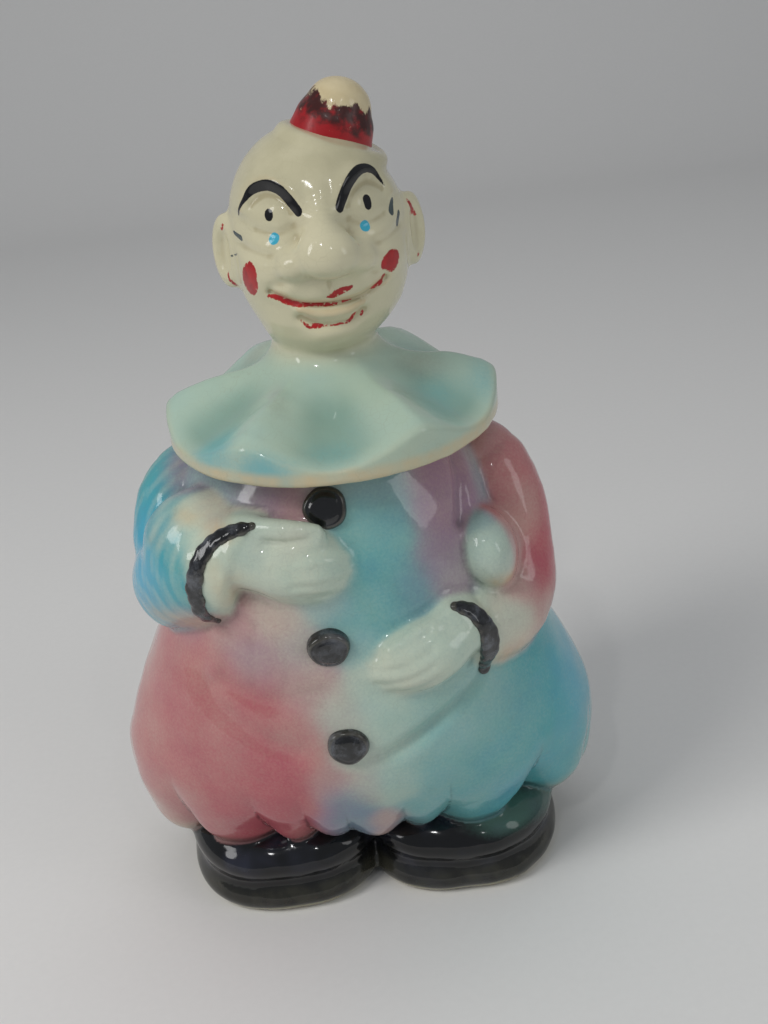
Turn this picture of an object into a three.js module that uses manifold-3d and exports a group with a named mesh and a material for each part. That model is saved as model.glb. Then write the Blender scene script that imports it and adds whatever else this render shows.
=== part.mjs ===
// A glazed earthenware coin bank: a stout clown in a full robe, with a lift-off head and collar.
// Millimetres, +Z up, the face looks along -Y. The origin is on the table, under the middle of the object.
// "Right" and "left" in the names are the clown's own, so its right arm is on the -X side.
import * as THREE from "three";
import { mergeVertices } from "three/addons/utils/BufferGeometryUtils.js";
import Module from "manifold-3d";

const wasm = await Module();
wasm.setup();

// ---------------------------------------------------------------- driving dimensions

const WALL = 4.5; // cast wall of the robe
const HEAD_WALL = 4;
const GAP = 0.3; // slip line between two castings that are stuck together
const AXIS_Y = 4.5; // the mouth's axis lies this far behind the middle of the whole object's depth

// The robe's outline from its floor to its mouth: half width and height.
const ROBE = [
  [50, 4],
  [53, 12],
  [57, 22],
  [73, 20],
  [79.5, 23],
  [84, 33],
  [86.5, 46],
  [86, 58],
  [81.5, 72],
  [74, 88],
  [67, 104],
  [62.5, 120],
  [59, 136],
  [54.5, 150],
  [47.5, 163],
  [40.5, 171],
  [36.5, 175.5],
  [34.5, 176.5],
];
// How deep the front is at each height, as a share of the half width.
const DEPTH = [
  [4, 0.62],
  [24, 0.56],
  [33, 0.59],
  [58, 0.66],
  [72, 0.71],
  [88, 0.78],
  [104, 0.84],
  [120, 0.88],
  [150, 0.88],
  [163, 0.91],
  [171, 0.97],
  [174, 1],
];
const HEM_Z = 22; // underside of the hem
const HEM_INNER_R = 60; // inside of this the underside has no folds
const HEM_FOLDS = 16;
const HEM_FOLD_DEPTH = 0.022; // as a share of the half width
const HEM_FOLD_TOP = 78; // the folds have died away at this height
const HEM_LIFT = 7; // the hem is this much higher at the front, over the toes
const BACK_DEPTH = 0.86; // the back is this much flatter than the belly

const MOUTH_R = 30.5;
const MOUTH_Z = ROBE.at(-1)[1];
const FLOOR_Z = ROBE[0][1];
const CAVITY_FOOT_Z = 30; // below this height the cavity keeps clear of the hem's underside

const SLOT = { width: 38, height: 5, z: 148 };

const STOPPER = { holeR: 14.5, neckR: 14.2, tipR: 12.6, flangeR: 18, flangeZ: 0.8, tipZ: 13 };

const SHOE = { x: 32, y: -0.5, halfWidth: 38.5, halfLength: 45, soleHeight: 8, height: 31, squareness: 2.5 };

const COLLAR = { rimR: 54.5, underZ: 172, neckR: 17, neckZ: 201 };
const RING = { r: 29, innerR: 25, footZ: 164 }; // under the collar, inside the robe's mouth
const COLLAR_REST = 5.2; // from the rim's underside up to the face that rests on the robe's mouth
const COLLAR_FOLDS = 6;
const COLLAR_FOLD_HEIGHT = 4.5;

const HEAD = { x: 4, depth: 1.08, turn: 8 }; // it sits to the clown's left of the mouth's axis
// The head's outline: radius and height.
const SKULL = [
  [16.5, COLLAR.neckZ + GAP],
  [16.8, 204],
  [20.5, 209],
  [24, 216],
  [26.3, 225],
  [27.3, 236],
  [27.2, 246],
  [25, 256],
  [20.5, 263],
  [13, 268],
  [0, 270.5],
];

const HAT = { at: [14.5, 0, 264.5], lean: 19, baseR: 13, topR: 8, height: 17 };
const EAR = { x: 28.5, y: 2, z: 236, half: [4, 7, 12.5] };

// Each arm: a spine from the shoulder to the wrist, the way the cuff faces there, and the hand beyond it.
const ARMS = {
  right: {
    spine: [[-40, 4, 161], [-49, -6, 148], [-51, -17, 136], [-46, -27, 134], [-38, -35, 141]],
    cuffFaces: [0.82, -0.45, -0.1],
    hand: { at: [-16, -49, 141], half: [22, 7, 10], turn: -14, dip: 6 },
  },
  left: {
    spine: [[42, 4, 161], [53, -3, 142], [55.5, -12, 122], [55, -23, 111], [48.5, -33, 110]],
    cuffFaces: [-0.8, -0.5, -0.1],
    hand: { at: [24, -53, 107], half: [24, 7, 9], turn: 20, dip: 3 },
  },
};
const SLEEVE_R = [11, 14.5, 16.5, 18.2, 19, 18.6, 17.4, 15.8, 14.4]; // along the spine
const CUFF = { r: 14, length: 6 };
const WRIST_R = 11;

const BUTTON = { r: 6.8, height: 3.2, sink: 2 };
const BUTTON_AT = [
  ["button_top", -1, 161],
  ["button_middle", -5, 117],
  ["button_bottom", -3, 82],
];

// ---------------------------------------------------------------- colours

const glazed = (color) => new THREE.MeshStandardMaterial({ color, roughness: 0.12, metalness: 0 });
const cream = glazed("#dcd7bd");
const seaGreen = glazed("#a5c9b9");
const turquoise = glazed("#6fbcc4");
const rose = glazed("#b8707a");
const black = glazed("#17191c");
const coldRed = new THREE.MeshStandardMaterial({ color: "#8d1a1e", roughness: 0.45, metalness: 0 });
const rubber = new THREE.MeshStandardMaterial({ color: "#2b2624", roughness: 0.8, metalness: 0 });

// ---------------------------------------------------------------- solids

// A closed geometry as a manifold-3d solid, turned the right way out.
function solid(geometry) {
  const bare = geometry.index ? geometry.clone() : geometry;
  bare.deleteAttribute("normal");
  bare.deleteAttribute("uv");
  const merged = mergeVertices(bare, 1e-3);
  const triVerts = new Uint32Array(merged.index.array);
  const make = () => new wasm.Manifold(
    new wasm.Mesh({ numProp: 3, vertProperties: merged.attributes.position.array, triVerts }),
  );
  const made = make();
  if (made.volume() > 0) return made;
  for (let i = 0; i < triVerts.length; i += 3) {
    [triVerts[i], triVerts[i + 1]] = [triVerts[i + 1], triVerts[i]];
  }
  return make();
}

function geometryOf(manifold) {
  const mesh = manifold.getMesh();
  const geometry = new THREE.BufferGeometry();
  geometry.setAttribute("position", new THREE.BufferAttribute(mesh.vertProperties, 3));
  geometry.setIndex(new THREE.BufferAttribute(mesh.triVerts, 1));
  return geometry;
}

// Moves each vertex of a geometry by a function of its position.
function reshaped(geometry, move) {
  const position = geometry.getAttribute("position");
  const v = new THREE.Vector3();
  for (let i = 0; i < position.count; i++) {
    move(v.fromBufferAttribute(position, i));
    position.setXYZ(i, v.x, v.y, v.z);
  }
  return geometry;
}

// A lathe about +Z from [radius, height] points. It starts and ends on the axis, or closes on itself.
function lathe(points, sides) {
  const geometry = new THREE.LatheGeometry(points.map(([r, z]) => new THREE.Vector2(r, z)), sides);
  return geometry.rotateX(Math.PI / 2);
}

function ellipsoid([x, y, z], [a, b, c], sides = 16) {
  return new THREE.SphereGeometry(1, sides, Math.round(sides * 0.6)).scale(a, b, c).translate(x, y, z);
}

// A lathe whose axis follows a curve. The profile is [radius, share of the curve's length].
function bentLathe(curve, profile, sides, reference) {
  const straight = new THREE.LatheGeometry(profile.map(([r, t]) => new THREE.Vector2(r, t)), sides);
  return reshaped(straight, (v) => {
    const share = THREE.MathUtils.clamp(v.y, 0, 1);
    const along = curve.getTangentAt(share);
    const side = reference.clone().cross(along).normalize();
    const up = along.clone().cross(side);
    const centre = curve.getPointAt(share);
    const [x, z] = [v.x, v.z];
    v.copy(centre).addScaledVector(side, x).addScaledVector(up, z);
  });
}

function part(name, geometry, material) {
  const mesh = new THREE.Mesh(geometry, material);
  mesh.name = name;
  return mesh;
}

// ---------------------------------------------------------------- robe

// Reads a [height, value] table at a height, in straight lines between its rows.
function readTable(rows, z) {
  const above = rows.findIndex((row) => row[0] > z);
  if (above === 0) return rows[0][1];
  if (above < 0) return rows.at(-1)[1];
  const [low, high] = [rows[above - 1], rows[above]];
  return THREE.MathUtils.mapLinear(z, low[0], high[0], low[1], high[1]);
}

// Turns a round robe lathe into the real one: flatter than wide, with folds that grow towards the hem.
function robeShaped(geometry, foldShare = 1) {
  return reshaped(geometry, (v) => {
    const angle = Math.atan2(v.y, v.x);
    const inFolds = v.z > HEM_Z - 3 && Math.hypot(v.x, v.y) > HEM_INNER_R;
    const fade = inFolds ? THREE.MathUtils.clamp((HEM_FOLD_TOP - v.z) / HEM_FOLD_TOP, 0, 1) : 0;
    const swell = 1 + foldShare * HEM_FOLD_DEPTH * fade * Math.cos(HEM_FOLDS * angle);
    const depth = readTable(DEPTH, v.z) * (v.y > 0 ? THREE.MathUtils.lerp(BACK_DEPTH, 1, roundness(v.z)) : 1);
    v.x *= swell;
    v.y *= swell * depth;
    const liftFade = THREE.MathUtils.clamp((HEM_FOLD_TOP - v.z) / (HEM_FOLD_TOP - HEM_Z), 0, 1);
    if (v.z > HEM_Z - 3) v.z += HEM_LIFT * liftFade * Math.max(-Math.sin(angle), 0);
  });
}

// 0 where the robe's back is flattened, 1 where it is round again: at the mouth.
function roundness(z) {
  return THREE.MathUtils.smoothstep(z, 150, 172);
}

// Moves an outline's points so that each of its lines goes outwards by extra.
function grown(points, extra) {
  const outs = points.slice(1).map(([r, z], i) => {
    const [r0, z0] = points[i];
    return new THREE.Vector2(z - z0, r0 - r).normalize();
  });
  return points.map(([r, z], i) => {
    const a = outs[Math.max(i - 1, 0)];
    const b = outs[Math.min(i, outs.length - 1)];
    const reach = extra / (1 + a.dot(b));
    return [r + reach * (a.x + b.x), z + reach * (a.y + b.y)];
  });
}

// The robe's outside as a full solid, grown outwards by extra.
function robeOutside(extra, sides = 64) {
  const points = grown([[0, FLOOR_Z], ...ROBE], extra);
  points[0][0] = 0;
  points.push([0, points.at(-1)[1]]);
  return solid(robeShaped(lathe(points, sides)));
}

function robeCavity() {
  const points = [
    [0, FLOOR_Z + WALL],
    [ROBE[0][0] - WALL, FLOOR_Z + WALL],
    [ROBE[2][0] - WALL - 1, CAVITY_FOOT_Z],
  ];
  for (const [r, z] of ROBE) {
    if (z > CAVITY_FOOT_Z + 10 && r - WALL > MOUTH_R) points.push([r - WALL - 1, z]);
  }
  points.push([MOUTH_R, MOUTH_Z - 6], [MOUTH_R, MOUTH_Z + 5], [0, MOUTH_Z + 5]);
  return solid(robeShaped(lathe(points, 32), 0));
}

function makeRobe() {
  const slot = new THREE.BoxGeometry(SLOT.width, 60, SLOT.height).translate(0, 45, SLOT.z);
  const hole = lathe([[0, 0], [STOPPER.holeR, 0], [STOPPER.holeR, 12], [0, 12]], 32);
  const shell = robeOutside(0).subtract(robeCavity()).subtract(solid(slot)).subtract(solid(hole));
  return part("robe_shell", geometryOf(shell), rose);
}

// What is stuck to the robe stays clear of this. The robe is flatter than wide, which thins the gap there.
const KEEP_OUT = GAP * 1.8;
const robeKeepOut = robeOutside(KEEP_OUT);

// ---------------------------------------------------------------- arms

function makeArm(side) {
  const arm = ARMS[side];
  const points = arm.spine.map((p) => new THREE.Vector3(...p));
  const curve = new THREE.CatmullRomCurve3(points, false, "centripetal");
  const bendAxis = points[1].clone().sub(points[0]).cross(points.at(-1).clone().sub(points[2])).normalize();
  const cuffFaces = new THREE.Vector3(...arm.cuffFaces).normalize();
  const wrist = points.at(-1);
  const sleeveProfile = [[0, 0], ...SLEEVE_R.map((r, i) => [r, 0.04 + (0.92 * i) / (SLEEVE_R.length - 1)])];
  sleeveProfile.push([CUFF.r, 1], [0, 1]);
  const sleeve = solid(bentLathe(curve, sleeveProfile, 20, bendAxis))
    .subtract(beyond(wrist, cuffFaces))
    .subtract(robeKeepOut);
  const cuffStart = wrist.clone().addScaledVector(cuffFaces, GAP);
  const cuff = solid(standing(lathe([
    [0, 0], [CUFF.r - 0.6, 0], [CUFF.r, CUFF.length * 0.3], [CUFF.r, CUFF.length * 0.7],
    [CUFF.r - 0.6, CUFF.length], [0, CUFF.length],
  ], 24), cuffStart, cuffFaces)).subtract(robeKeepOut);
  const handStart = cuffStart.clone().addScaledVector(cuffFaces, CUFF.length + GAP);
  return [
    part(`sleeve_${side}`, geometryOf(largest(sleeve)), side === "right" ? turquoise : rose),
    part(`cuff_${side}`, geometryOf(largest(cuff)), black),
    part(`hand_${side}`, geometryOf(largest(makeHand(arm.hand, handStart, cuffFaces))), cream),
  ];
}

// Turns a geometry's +Z to a direction and stands it at a point.
function standing(geometry, at, direction) {
  const turn = new THREE.Quaternion().setFromUnitVectors(new THREE.Vector3(0, 0, 1), direction);
  return geometry.applyQuaternion(turn).translate(...at);
}

// A block that fills everything past the plane through a point, square to a direction.
function beyond(at, direction) {
  return solid(standing(new THREE.BoxGeometry(80, 80, 80).translate(0, 0, 40), at, direction));
}

// A mitten-shaped hand that leaves the cuff's face and lies flat on the robe.
function makeHand({ at, half, turn, dip }, start, faces) {
  const mitten = ellipsoid([0, 0, 0], half, 20)
    .rotateY(THREE.MathUtils.degToRad(dip))
    .rotateZ(THREE.MathUtils.degToRad(turn))
    .translate(...at);
  const tip = new THREE.Vector3(...at);
  const wristLine = new THREE.CatmullRomCurve3([start.clone().addScaledVector(faces, -4), start, tip]);
  const wristProfile = [[0, 0], [WRIST_R, 0.02], [WRIST_R - 1, 0.4], [6, 0.95], [0, 1]];
  const wrist = bentLathe(wristLine, wristProfile, 16, new THREE.Vector3(0, 0, 1));
  const insideCuff = beyond(start, faces.clone().negate());
  return solid(mitten).add(solid(wrist)).subtract(insideCuff).subtract(robeKeepOut);
}

// Cutting by the robe can leave crumbs behind it: the piece is the largest body.
function largest(manifold) {
  return manifold.decompose().reduce((a, b) => (a.volume() > b.volume() ? a : b));
}

// ---------------------------------------------------------------- buttons, shoes, stopper

// The robe's front surface at x and z, and its outward normal there.
function robeFront(x, z) {
  const widths = ROBE.slice(4).map(([r, height]) => [height, r]);
  const y = (px, pz) => {
    const halfWidth = readTable(widths, pz);
    return -halfWidth * readTable(DEPTH, pz) * Math.sqrt(1 - (px / halfWidth) ** 2);
  };
  const at = new THREE.Vector3(x, y(x, z), z);
  const step = 1;
  const normal = new THREE.Vector3(
    y(x + step, z) - y(x - step, z), -2 * step, y(x, z + step) - y(x, z - step),
  ).normalize();
  return { at, normal };
}

function makeButton(name, x, z) {
  const { at, normal } = robeFront(x, z);
  const dome = lathe([
    [0, -BUTTON.sink], [BUTTON.r - 0.8, -BUTTON.sink], [BUTTON.r, BUTTON.height * 0.3],
    [BUTTON.r - 0.6, BUTTON.height * 0.7], [BUTTON.r * 0.6, BUTTON.height * 0.95], [0, BUTTON.height],
  ], 24);
  const sewnOn = solid(standing(dome, at, normal)).subtract(robeKeepOut);
  return part(name, geometryOf(largest(sewnOn)), black);
}

// A shoe that wraps round the robe's foot: a sole with a rounded welt, and a full upper.
function makeShoe(side) {
  const { halfWidth: r, soleHeight: s, height: h } = SHOE;
  const profile = [
    [0, 0], [r - 2, 0], [r - 0.4, 1.6], [r, s * 0.5], [r - 0.6, s - 1], [r - 1.6, s],
    [r - 0.8, s + 3], [r - 0.6, s + 7], [r - 2.5, s + 12], [r - 8, h - 2], [r - 16, h], [0, h],
  ];
  const shape = reshaped(lathe(profile, 40), (v) => {
    const angle = Math.atan2(v.y, v.x);
    const n = SHOE.squareness;
    const squared = (Math.abs(Math.cos(angle)) ** n + Math.abs(Math.sin(angle)) ** n) ** (-1 / n);
    v.x *= squared;
    v.y *= (squared * SHOE.halfLength) / SHOE.halfWidth;
  });
  const sign = side === "right" ? -1 : 1;
  shape.translate(sign * SHOE.x, SHOE.y, 0);
  const otherSide = new THREE.BoxGeometry(100, 140, 100).translate(-sign * (50 - GAP / 2), 0, 0);
  const shoe = solid(shape).subtract(solid(otherSide)).subtract(robeKeepOut).subtract(footWell());
  return part(`shoe_${side}`, geometryOf(largest(shoe)), black);
}

// The space under the robe's floor, which the shoes leave free so that the stopper can be reached.
function footWell() {
  const r = ROBE[0][0] + KEEP_OUT;
  return solid(robeShaped(lathe([[0, -1], [r, -1], [r, 10], [0, 10]], 64)));
}

function makeStopper() {
  const { neckR, tipR, flangeR, flangeZ, tipZ } = STOPPER;
  const profile = [
    [0, flangeZ], [flangeR - 0.8, flangeZ], [flangeR, flangeZ + 0.8], [flangeR - 0.5, FLOOR_Z - GAP],
    [neckR, FLOOR_Z - GAP], [neckR, FLOOR_Z + 1], [tipR, tipZ - 1], [tipR - 1, tipZ], [0, tipZ],
  ];
  return part("base_stopper", lathe(profile, 32), rubber);
}

// ---------------------------------------------------------------- head and collar

function makeCollar() {
  const { rimR, underZ, neckR, neckZ } = COLLAR;
  const under = underZ + COLLAR_REST;
  const profile = [
    [RING.innerR, under], [38, under], [42, underZ + 1],
    [50, underZ], [rimR - 1, underZ + 0.8], [rimR, underZ + 3], [rimR - 0.8, underZ + 5.5],
    [50, underZ + 8.5], [43, underZ + 11.5], [35, underZ + 14.5], [27, underZ + 18.5], [20.5, underZ + 23],
    [neckR + 0.5, neckZ - 2], [neckR, neckZ], [neckR - HEAD_WALL, neckZ], [neckR - HEAD_WALL, neckZ - 8],
    [RING.innerR, underZ + 10], [RING.innerR, under],
  ];
  const ring = reshaped(lathe(profile, 48), (v) => {
    const r = Math.hypot(v.x, v.y);
    const outward = THREE.MathUtils.clamp((r - RING.r) / (rimR - RING.r), 0, 1);
    const onTop = v.z > underZ + 5.3 ? 1 : v.z > underZ + 2.5 && r > 53 ? 0.6 : 0;
    v.z += onTop * outward * COLLAR_FOLD_HEIGHT * (Math.cos(COLLAR_FOLDS * Math.atan2(v.y, v.x)) + 0.15);
    const aboveRest = THREE.MathUtils.clamp((v.z - under) / 5, 0, 1);
    v.x += HEAD.x * Math.max(aboveRest, THREE.MathUtils.smoothstep(r, 38, 50));
  });
  return part("collar", ring, seaGreen);
}

// The ring under the collar that keeps it centred in the robe's mouth.
function makeLidRing() {
  const { r, innerR, footZ } = RING;
  const topZ = COLLAR.underZ + COLLAR_REST - GAP;
  return part("lid_ring", lathe([
    [innerR, footZ], [r - 1, footZ], [r, footZ + 1.2], [r, topZ], [innerR, topZ], [innerR, footZ],
  ], 48), cream);
}

function makeHead() {
  const outside = solid(lathe([[0, SKULL[0][1]], ...SKULL], 32).scale(1, HEAD.depth, 1));
  const hollow = SKULL.map(([r, z]) => [Math.max(r - HEAD_WALL, 0), z > 212 ? z - HEAD_WALL * 0.8 : z]);
  const inside = [[0, SKULL[0][1] - 5], [hollow[0][0], SKULL[0][1] - 5], ...hollow];
  const cavity = solid(lathe(inside, 24).scale(1, HEAD.depth, 1));
  const nose = solid(ellipsoid([0, -31, 237], [10, 7.5, 7.5]));
  const chin = solid(ellipsoid([0, -20, 210.5], [9.5, 7.5, 7]));
  const cheeks = [-13.5, 13.5].map((x) => solid(ellipsoid([x, -19.5, 229], [9.5, 8, 9])));
  let head = outside;
  for (const lump of [nose, chin, ...cheeks]) head = head.add(lump);
  return part("head", geometryOf(head.subtract(cavity)), cream);
}

function makeEar(side) {
  const sign = side === "right" ? -1 : 1;
  const lobe = solid(ellipsoid([sign * EAR.x, EAR.y, EAR.z], EAR.half));
  const clearOfSkull = SKULL.map(([r, z]) => (r ? [r + GAP, z] : [0, z + GAP]));
  const skull = solid(lathe([[0, SKULL[0][1]], ...clearOfSkull], 32).scale(1, HEAD.depth, 1));
  return part(`ear_${side}`, geometryOf(largest(lobe.subtract(skull))), cream);
}

function makeHat() {
  const { baseR: r, topR: t, height: h } = HAT;
  const cone = lathe([
    [0, -4], [r, -4], [r, 0], [r - 1, h * 0.25], [t + 1.8, h * 0.55], [t, h * 0.78],
    [t * 0.72, h * 0.92], [t * 0.35, h * 0.99], [0, h],
  ], 28);
  cone.rotateY(THREE.MathUtils.degToRad(HAT.lean)).translate(...HAT.at);
  const clearOfSkull = SKULL.map(([skullR, z]) => [skullR ? skullR + GAP : 0, z + GAP]);
  const crown = solid(
    lathe([[0, SKULL[0][1]], ...clearOfSkull], 32).scale(1, HEAD.depth, 1).translate(HEAD.x, 0, 0),
  );
  return part("hat", geometryOf(largest(solid(cone).subtract(crown))), coldRed);
}

// ---------------------------------------------------------------- assembly

const top = new THREE.Group();
const turned = new THREE.Group();
turned.rotation.z = THREE.MathUtils.degToRad(HEAD.turn);
turned.position.x = HEAD.x;
turned.add(makeHead(), makeEar("right"), makeEar("left"));
top.add(makeCollar(), makeLidRing(), turned, makeHat());

const figure = new THREE.Group();
figure.position.y = AXIS_Y;
figure.add(
  makeRobe(),
  ...makeArm("right"),
  ...makeArm("left"),
  ...BUTTON_AT.map(([name, x, z]) => makeButton(name, x, z)),
  makeShoe("right"),
  makeShoe("left"),
  makeStopper(),
  top,
);

const bank = new THREE.Group();
bank.add(figure);

export default bank;
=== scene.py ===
"""A glazed earthenware clown coin bank, modelled as signed distances and meshed here.

Lengths in the shape code are millimetres from the mouth's axis: x to the viewer's right, y away from the
viewer, z up from the table. The meshes are written in metres in the CAD part's own frame.
"""

import math
from functools import partial

import bpy
import numpy as np
from mathutils import Matrix, Vector


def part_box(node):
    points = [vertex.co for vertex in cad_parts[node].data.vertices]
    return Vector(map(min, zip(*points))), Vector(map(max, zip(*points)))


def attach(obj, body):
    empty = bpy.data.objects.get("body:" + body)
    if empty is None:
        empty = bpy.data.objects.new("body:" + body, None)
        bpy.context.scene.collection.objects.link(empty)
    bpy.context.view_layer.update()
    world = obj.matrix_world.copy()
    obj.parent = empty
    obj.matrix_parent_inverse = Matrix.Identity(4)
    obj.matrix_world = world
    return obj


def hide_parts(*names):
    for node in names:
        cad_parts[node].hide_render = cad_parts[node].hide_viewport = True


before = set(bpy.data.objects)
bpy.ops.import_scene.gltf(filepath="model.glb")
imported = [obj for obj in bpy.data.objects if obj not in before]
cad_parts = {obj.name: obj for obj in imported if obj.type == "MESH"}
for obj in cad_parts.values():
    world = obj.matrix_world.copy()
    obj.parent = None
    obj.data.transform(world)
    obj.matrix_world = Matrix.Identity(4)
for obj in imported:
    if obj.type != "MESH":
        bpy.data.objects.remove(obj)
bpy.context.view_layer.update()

MM = 0.001
stopper_low, stopper_high = (np.array(c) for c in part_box("base_stopper"))
AXIS_Y = float(stopper_low[1] + stopper_high[1]) / 2 / MM
MOUTH_Z = float(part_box("robe_shell")[1][2]) / MM

# ------------------------------------------------------------------ distance functions


def smin(a, b, k):
    """The lower of two distances, with a fillet of about k between them."""
    h = np.clip(0.5 + 0.5 * (b - a) / k, 0, 1)
    return b + (a - b) * h - k * h * (1 - h)


def smax(a, b, k):
    """The higher of two distances, with an edge rounded by about k."""
    return -smin(-a, -b, k)


def smooth(x, low, high):
    """0 up to low, rising to 1 at high."""
    t = np.clip((x - low) / (high - low), 0, 1)
    return t * t * (3 - 2 * t)


def fade(x, low, high):
    """1 up to low, falling to 0 at high."""
    return 1 - smooth(x, low, high)


def bell(x, width):
    return np.exp(-((x / width) ** 2))


def norm(v):
    return np.sqrt((v * v).sum(-1))


def turned(rx=0.0, ry=0.0, rz=0.0):
    """A rotation matrix from degrees about x, then y, then z."""
    m = Matrix.Rotation(math.radians(rz), 3, "Z") @ Matrix.Rotation(math.radians(ry), 3, "Y")
    return np.array(m @ Matrix.Rotation(math.radians(rx), 3, "X"))


def ellipsoid(p, centre, radii, turn=None):
    q = p - np.array(centre, float)
    if turn is not None:
        q = q @ turn
    r = np.array(radii, float)
    k0 = norm(q / r)
    k1 = norm(q / (r * r))
    return k0 * (k0 - 1) / np.maximum(k1, 1e-6)


def spline(rows, per_span=4):
    """Rows of numbers, run through by a Catmull-Rom curve."""
    rows = np.array(rows, float)
    padded = np.vstack([2 * rows[0] - rows[1], rows, 2 * rows[-1] - rows[-2]])
    out = []
    for a, b, c, d in zip(padded, padded[1:], padded[2:], padded[3:]):
        for t in np.arange(per_span) / per_span:
            square, cube = 2 * a - 5 * b + 4 * c - d, 3 * b - a - 3 * c + d
            out.append(0.5 * (2 * b + (c - a) * t + square * t**2 + cube * t**3))
    out.append(rows[-1])
    return np.array(out)


def chain(p, rows, fine=True):
    """A limb through rows of a place and a radius."""
    rows = spline(rows) if fine else np.array(rows, float)
    d = np.full(len(p), 1e6)
    for a, b in zip(rows, rows[1:]):
        span = b[:-1] - a[:-1]
        t = np.clip(((p - a[:-1]) @ span) / (span @ span), 0, 1)
        d = np.minimum(d, norm(p - a[:-1] - t[:, None] * span) - (a[-1] + (b[-1] - a[-1]) * t))
    return d


def oval(x, y, wide, deep, gentle):
    """Distance from an ellipse, with a slope of at least 1 / gentle in its middle."""
    q = np.sqrt((x / wide) ** 2 + (y / deep) ** 2)
    slope = np.sqrt((x / wide**2) ** 2 + (y / deep**2) ** 2) / np.maximum(q, 1e-6)
    return (q - 1) / np.maximum(slope, 1 / gentle)


def flat_chain(u, points):
    """Distance in a plane from u to the curve through the points."""
    return chain(u, [(*point, 0) for point in points])


def ridges(plane, folds):
    """Height of soft ridges in a plane, from (curve, half width, height) folds."""
    height = np.zeros(len(plane))
    for points, width, tallness in folds:
        points = np.array(points, float)
        low, high = points.min(0) - 3 * width, points.max(0) + 3 * width
        near = ((plane > low) & (plane < high)).all(-1)
        if near.any():
            height[near] += tallness * bell(flat_chain(plane[near], points), width)
    return height


def within(p, low, high, margin, f):
    """f, worked out only near a box; further off, the distance to the box stands in."""
    low, high = np.array(low, float), np.array(high, float)
    away = norm(np.maximum(np.maximum(low - p, p - high), 0))
    d = away + 0.5
    near = away < margin
    if near.any():
        d[near] = f(p[near])
    return d


def table(rows, blur=3.0):
    """A smooth function of height from [height, value, ...] rows: one function for each value column."""
    rows = np.array(rows, float)
    z = np.arange(rows[0, 0] - 20, rows[-1, 0] + 20, 0.5)
    half = round(8 * blur)
    kernel = np.exp(-0.5 * (np.arange(-half, half + 1) * 0.5 / blur) ** 2)
    kernel /= kernel.sum()
    columns = []
    for c in range(1, rows.shape[1]):
        v = np.interp(z, rows[:, 0], rows[:, c])
        v = np.convolve(np.pad(v, half, mode="edge"), kernel, mode="valid")
        columns.append(lambda q, z=z, v=v: np.interp(q, z, v))
    return columns


# ------------------------------------------------------------------ meshing


def mesh_of(f, low, high, step):
    """Vertices, quads and normals of f's zero surface in a box, on a grid of that step."""
    block = 8
    low = np.array(low, float)
    count = np.ceil((np.array(high, float) - low) / (step * block)).astype(int)
    where = np.stack(np.meshgrid(*(np.arange(c) for c in count), indexing="ij"), -1).reshape(-1, 3)
    rough = f(low + (where * block + (block - 1) / 2) * step)
    reach = block * step * 0.87 * 1.5 + 2
    volume = np.empty(tuple(count * block), np.float32)
    view = volume.reshape(count[0], block, count[1], block, count[2], block)
    view[:] = np.sign(rough).reshape(count)[:, None, :, None, :, None] * 1e3
    inner = np.stack(np.meshgrid(*[np.arange(block)] * 3, indexing="ij"), -1).reshape(-1, 3)
    active = where[np.abs(rough) < reach]
    for at in range(0, len(active), 300):
        some = active[at : at + 300]
        points = low + (some[:, None, :] * block + inner[None]) * step
        values = f(points.reshape(-1, 3)).reshape(len(some), block, block, block)
        for (i, j, k), v in zip(some, values):
            view[i, :, j, :, k, :] = v
    shape = np.array(volume.shape)
    strides = np.array([shape[1] * shape[2], shape[2], 1])
    flat = volume.reshape(-1)
    total = np.zeros((flat.size, 3), np.float32)
    hits = np.zeros(flat.size, np.float32)
    crossings = []
    for axis in range(3):
        keep = [slice(1, -1)] * 3
        first = volume[tuple(keep)]
        keep[axis] = slice(2, None)
        second = volume[tuple(keep)]
        at = np.argwhere((first < 0) != (second < 0)) + 1
        index = at @ strides
        a, b = flat[index], flat[index + strides[axis]]
        point = at.astype(np.float32)
        point[:, axis] += a / (a - b)
        others = [strides[o] for o in range(3) if o != axis]
        cells = [index, index - others[0], index - others[0] - others[1], index - others[1]]
        for cell in cells:
            hits += np.bincount(cell, minlength=flat.size).astype(np.float32)
            for c in range(3):
                total[:, c] += np.bincount(cell, weights=point[:, c], minlength=flat.size)
        quad = np.stack(cells, 1)
        flip = (a < 0) == (axis == 1)
        quad[flip] = quad[flip][:, ::-1]
        crossings.append(quad)
    used = np.flatnonzero(hits)
    number = np.full(flat.size, -1)
    number[used] = np.arange(len(used))
    vertices = low + total[used] / hits[used][:, None] * step
    quads = number[np.concatenate(crossings)]
    for _ in range(3):
        move = step_onto(f, vertices, 0.2 * step)
        size = norm(move)[:, None]
        vertices = vertices + move * np.minimum(1, 0.5 * step / np.maximum(size, 1e-9))
    g, _ = gradient(f, vertices, 0.3 * step)
    return vertices, quads, g / np.maximum(norm(g), 1e-9)[:, None]


def in_parts(f, p, size=250_000):
    return np.concatenate([f(p[i : i + size]) for i in range(0, len(p), size)])


def gradient(f, p, eps):
    d = in_parts(f, p)
    g = np.empty_like(p)
    for c, e in enumerate(eps * np.eye(3)):
        g[:, c] = (in_parts(f, p + e) - in_parts(f, p - e)) / (2 * eps)
    return g, d


def step_onto(f, p, eps):
    """The step that takes each point about onto f's surface."""
    g, d = gradient(f, p, eps)
    return -d[:, None] * g / np.maximum((g * g).sum(-1), 0.2)[:, None]


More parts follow.
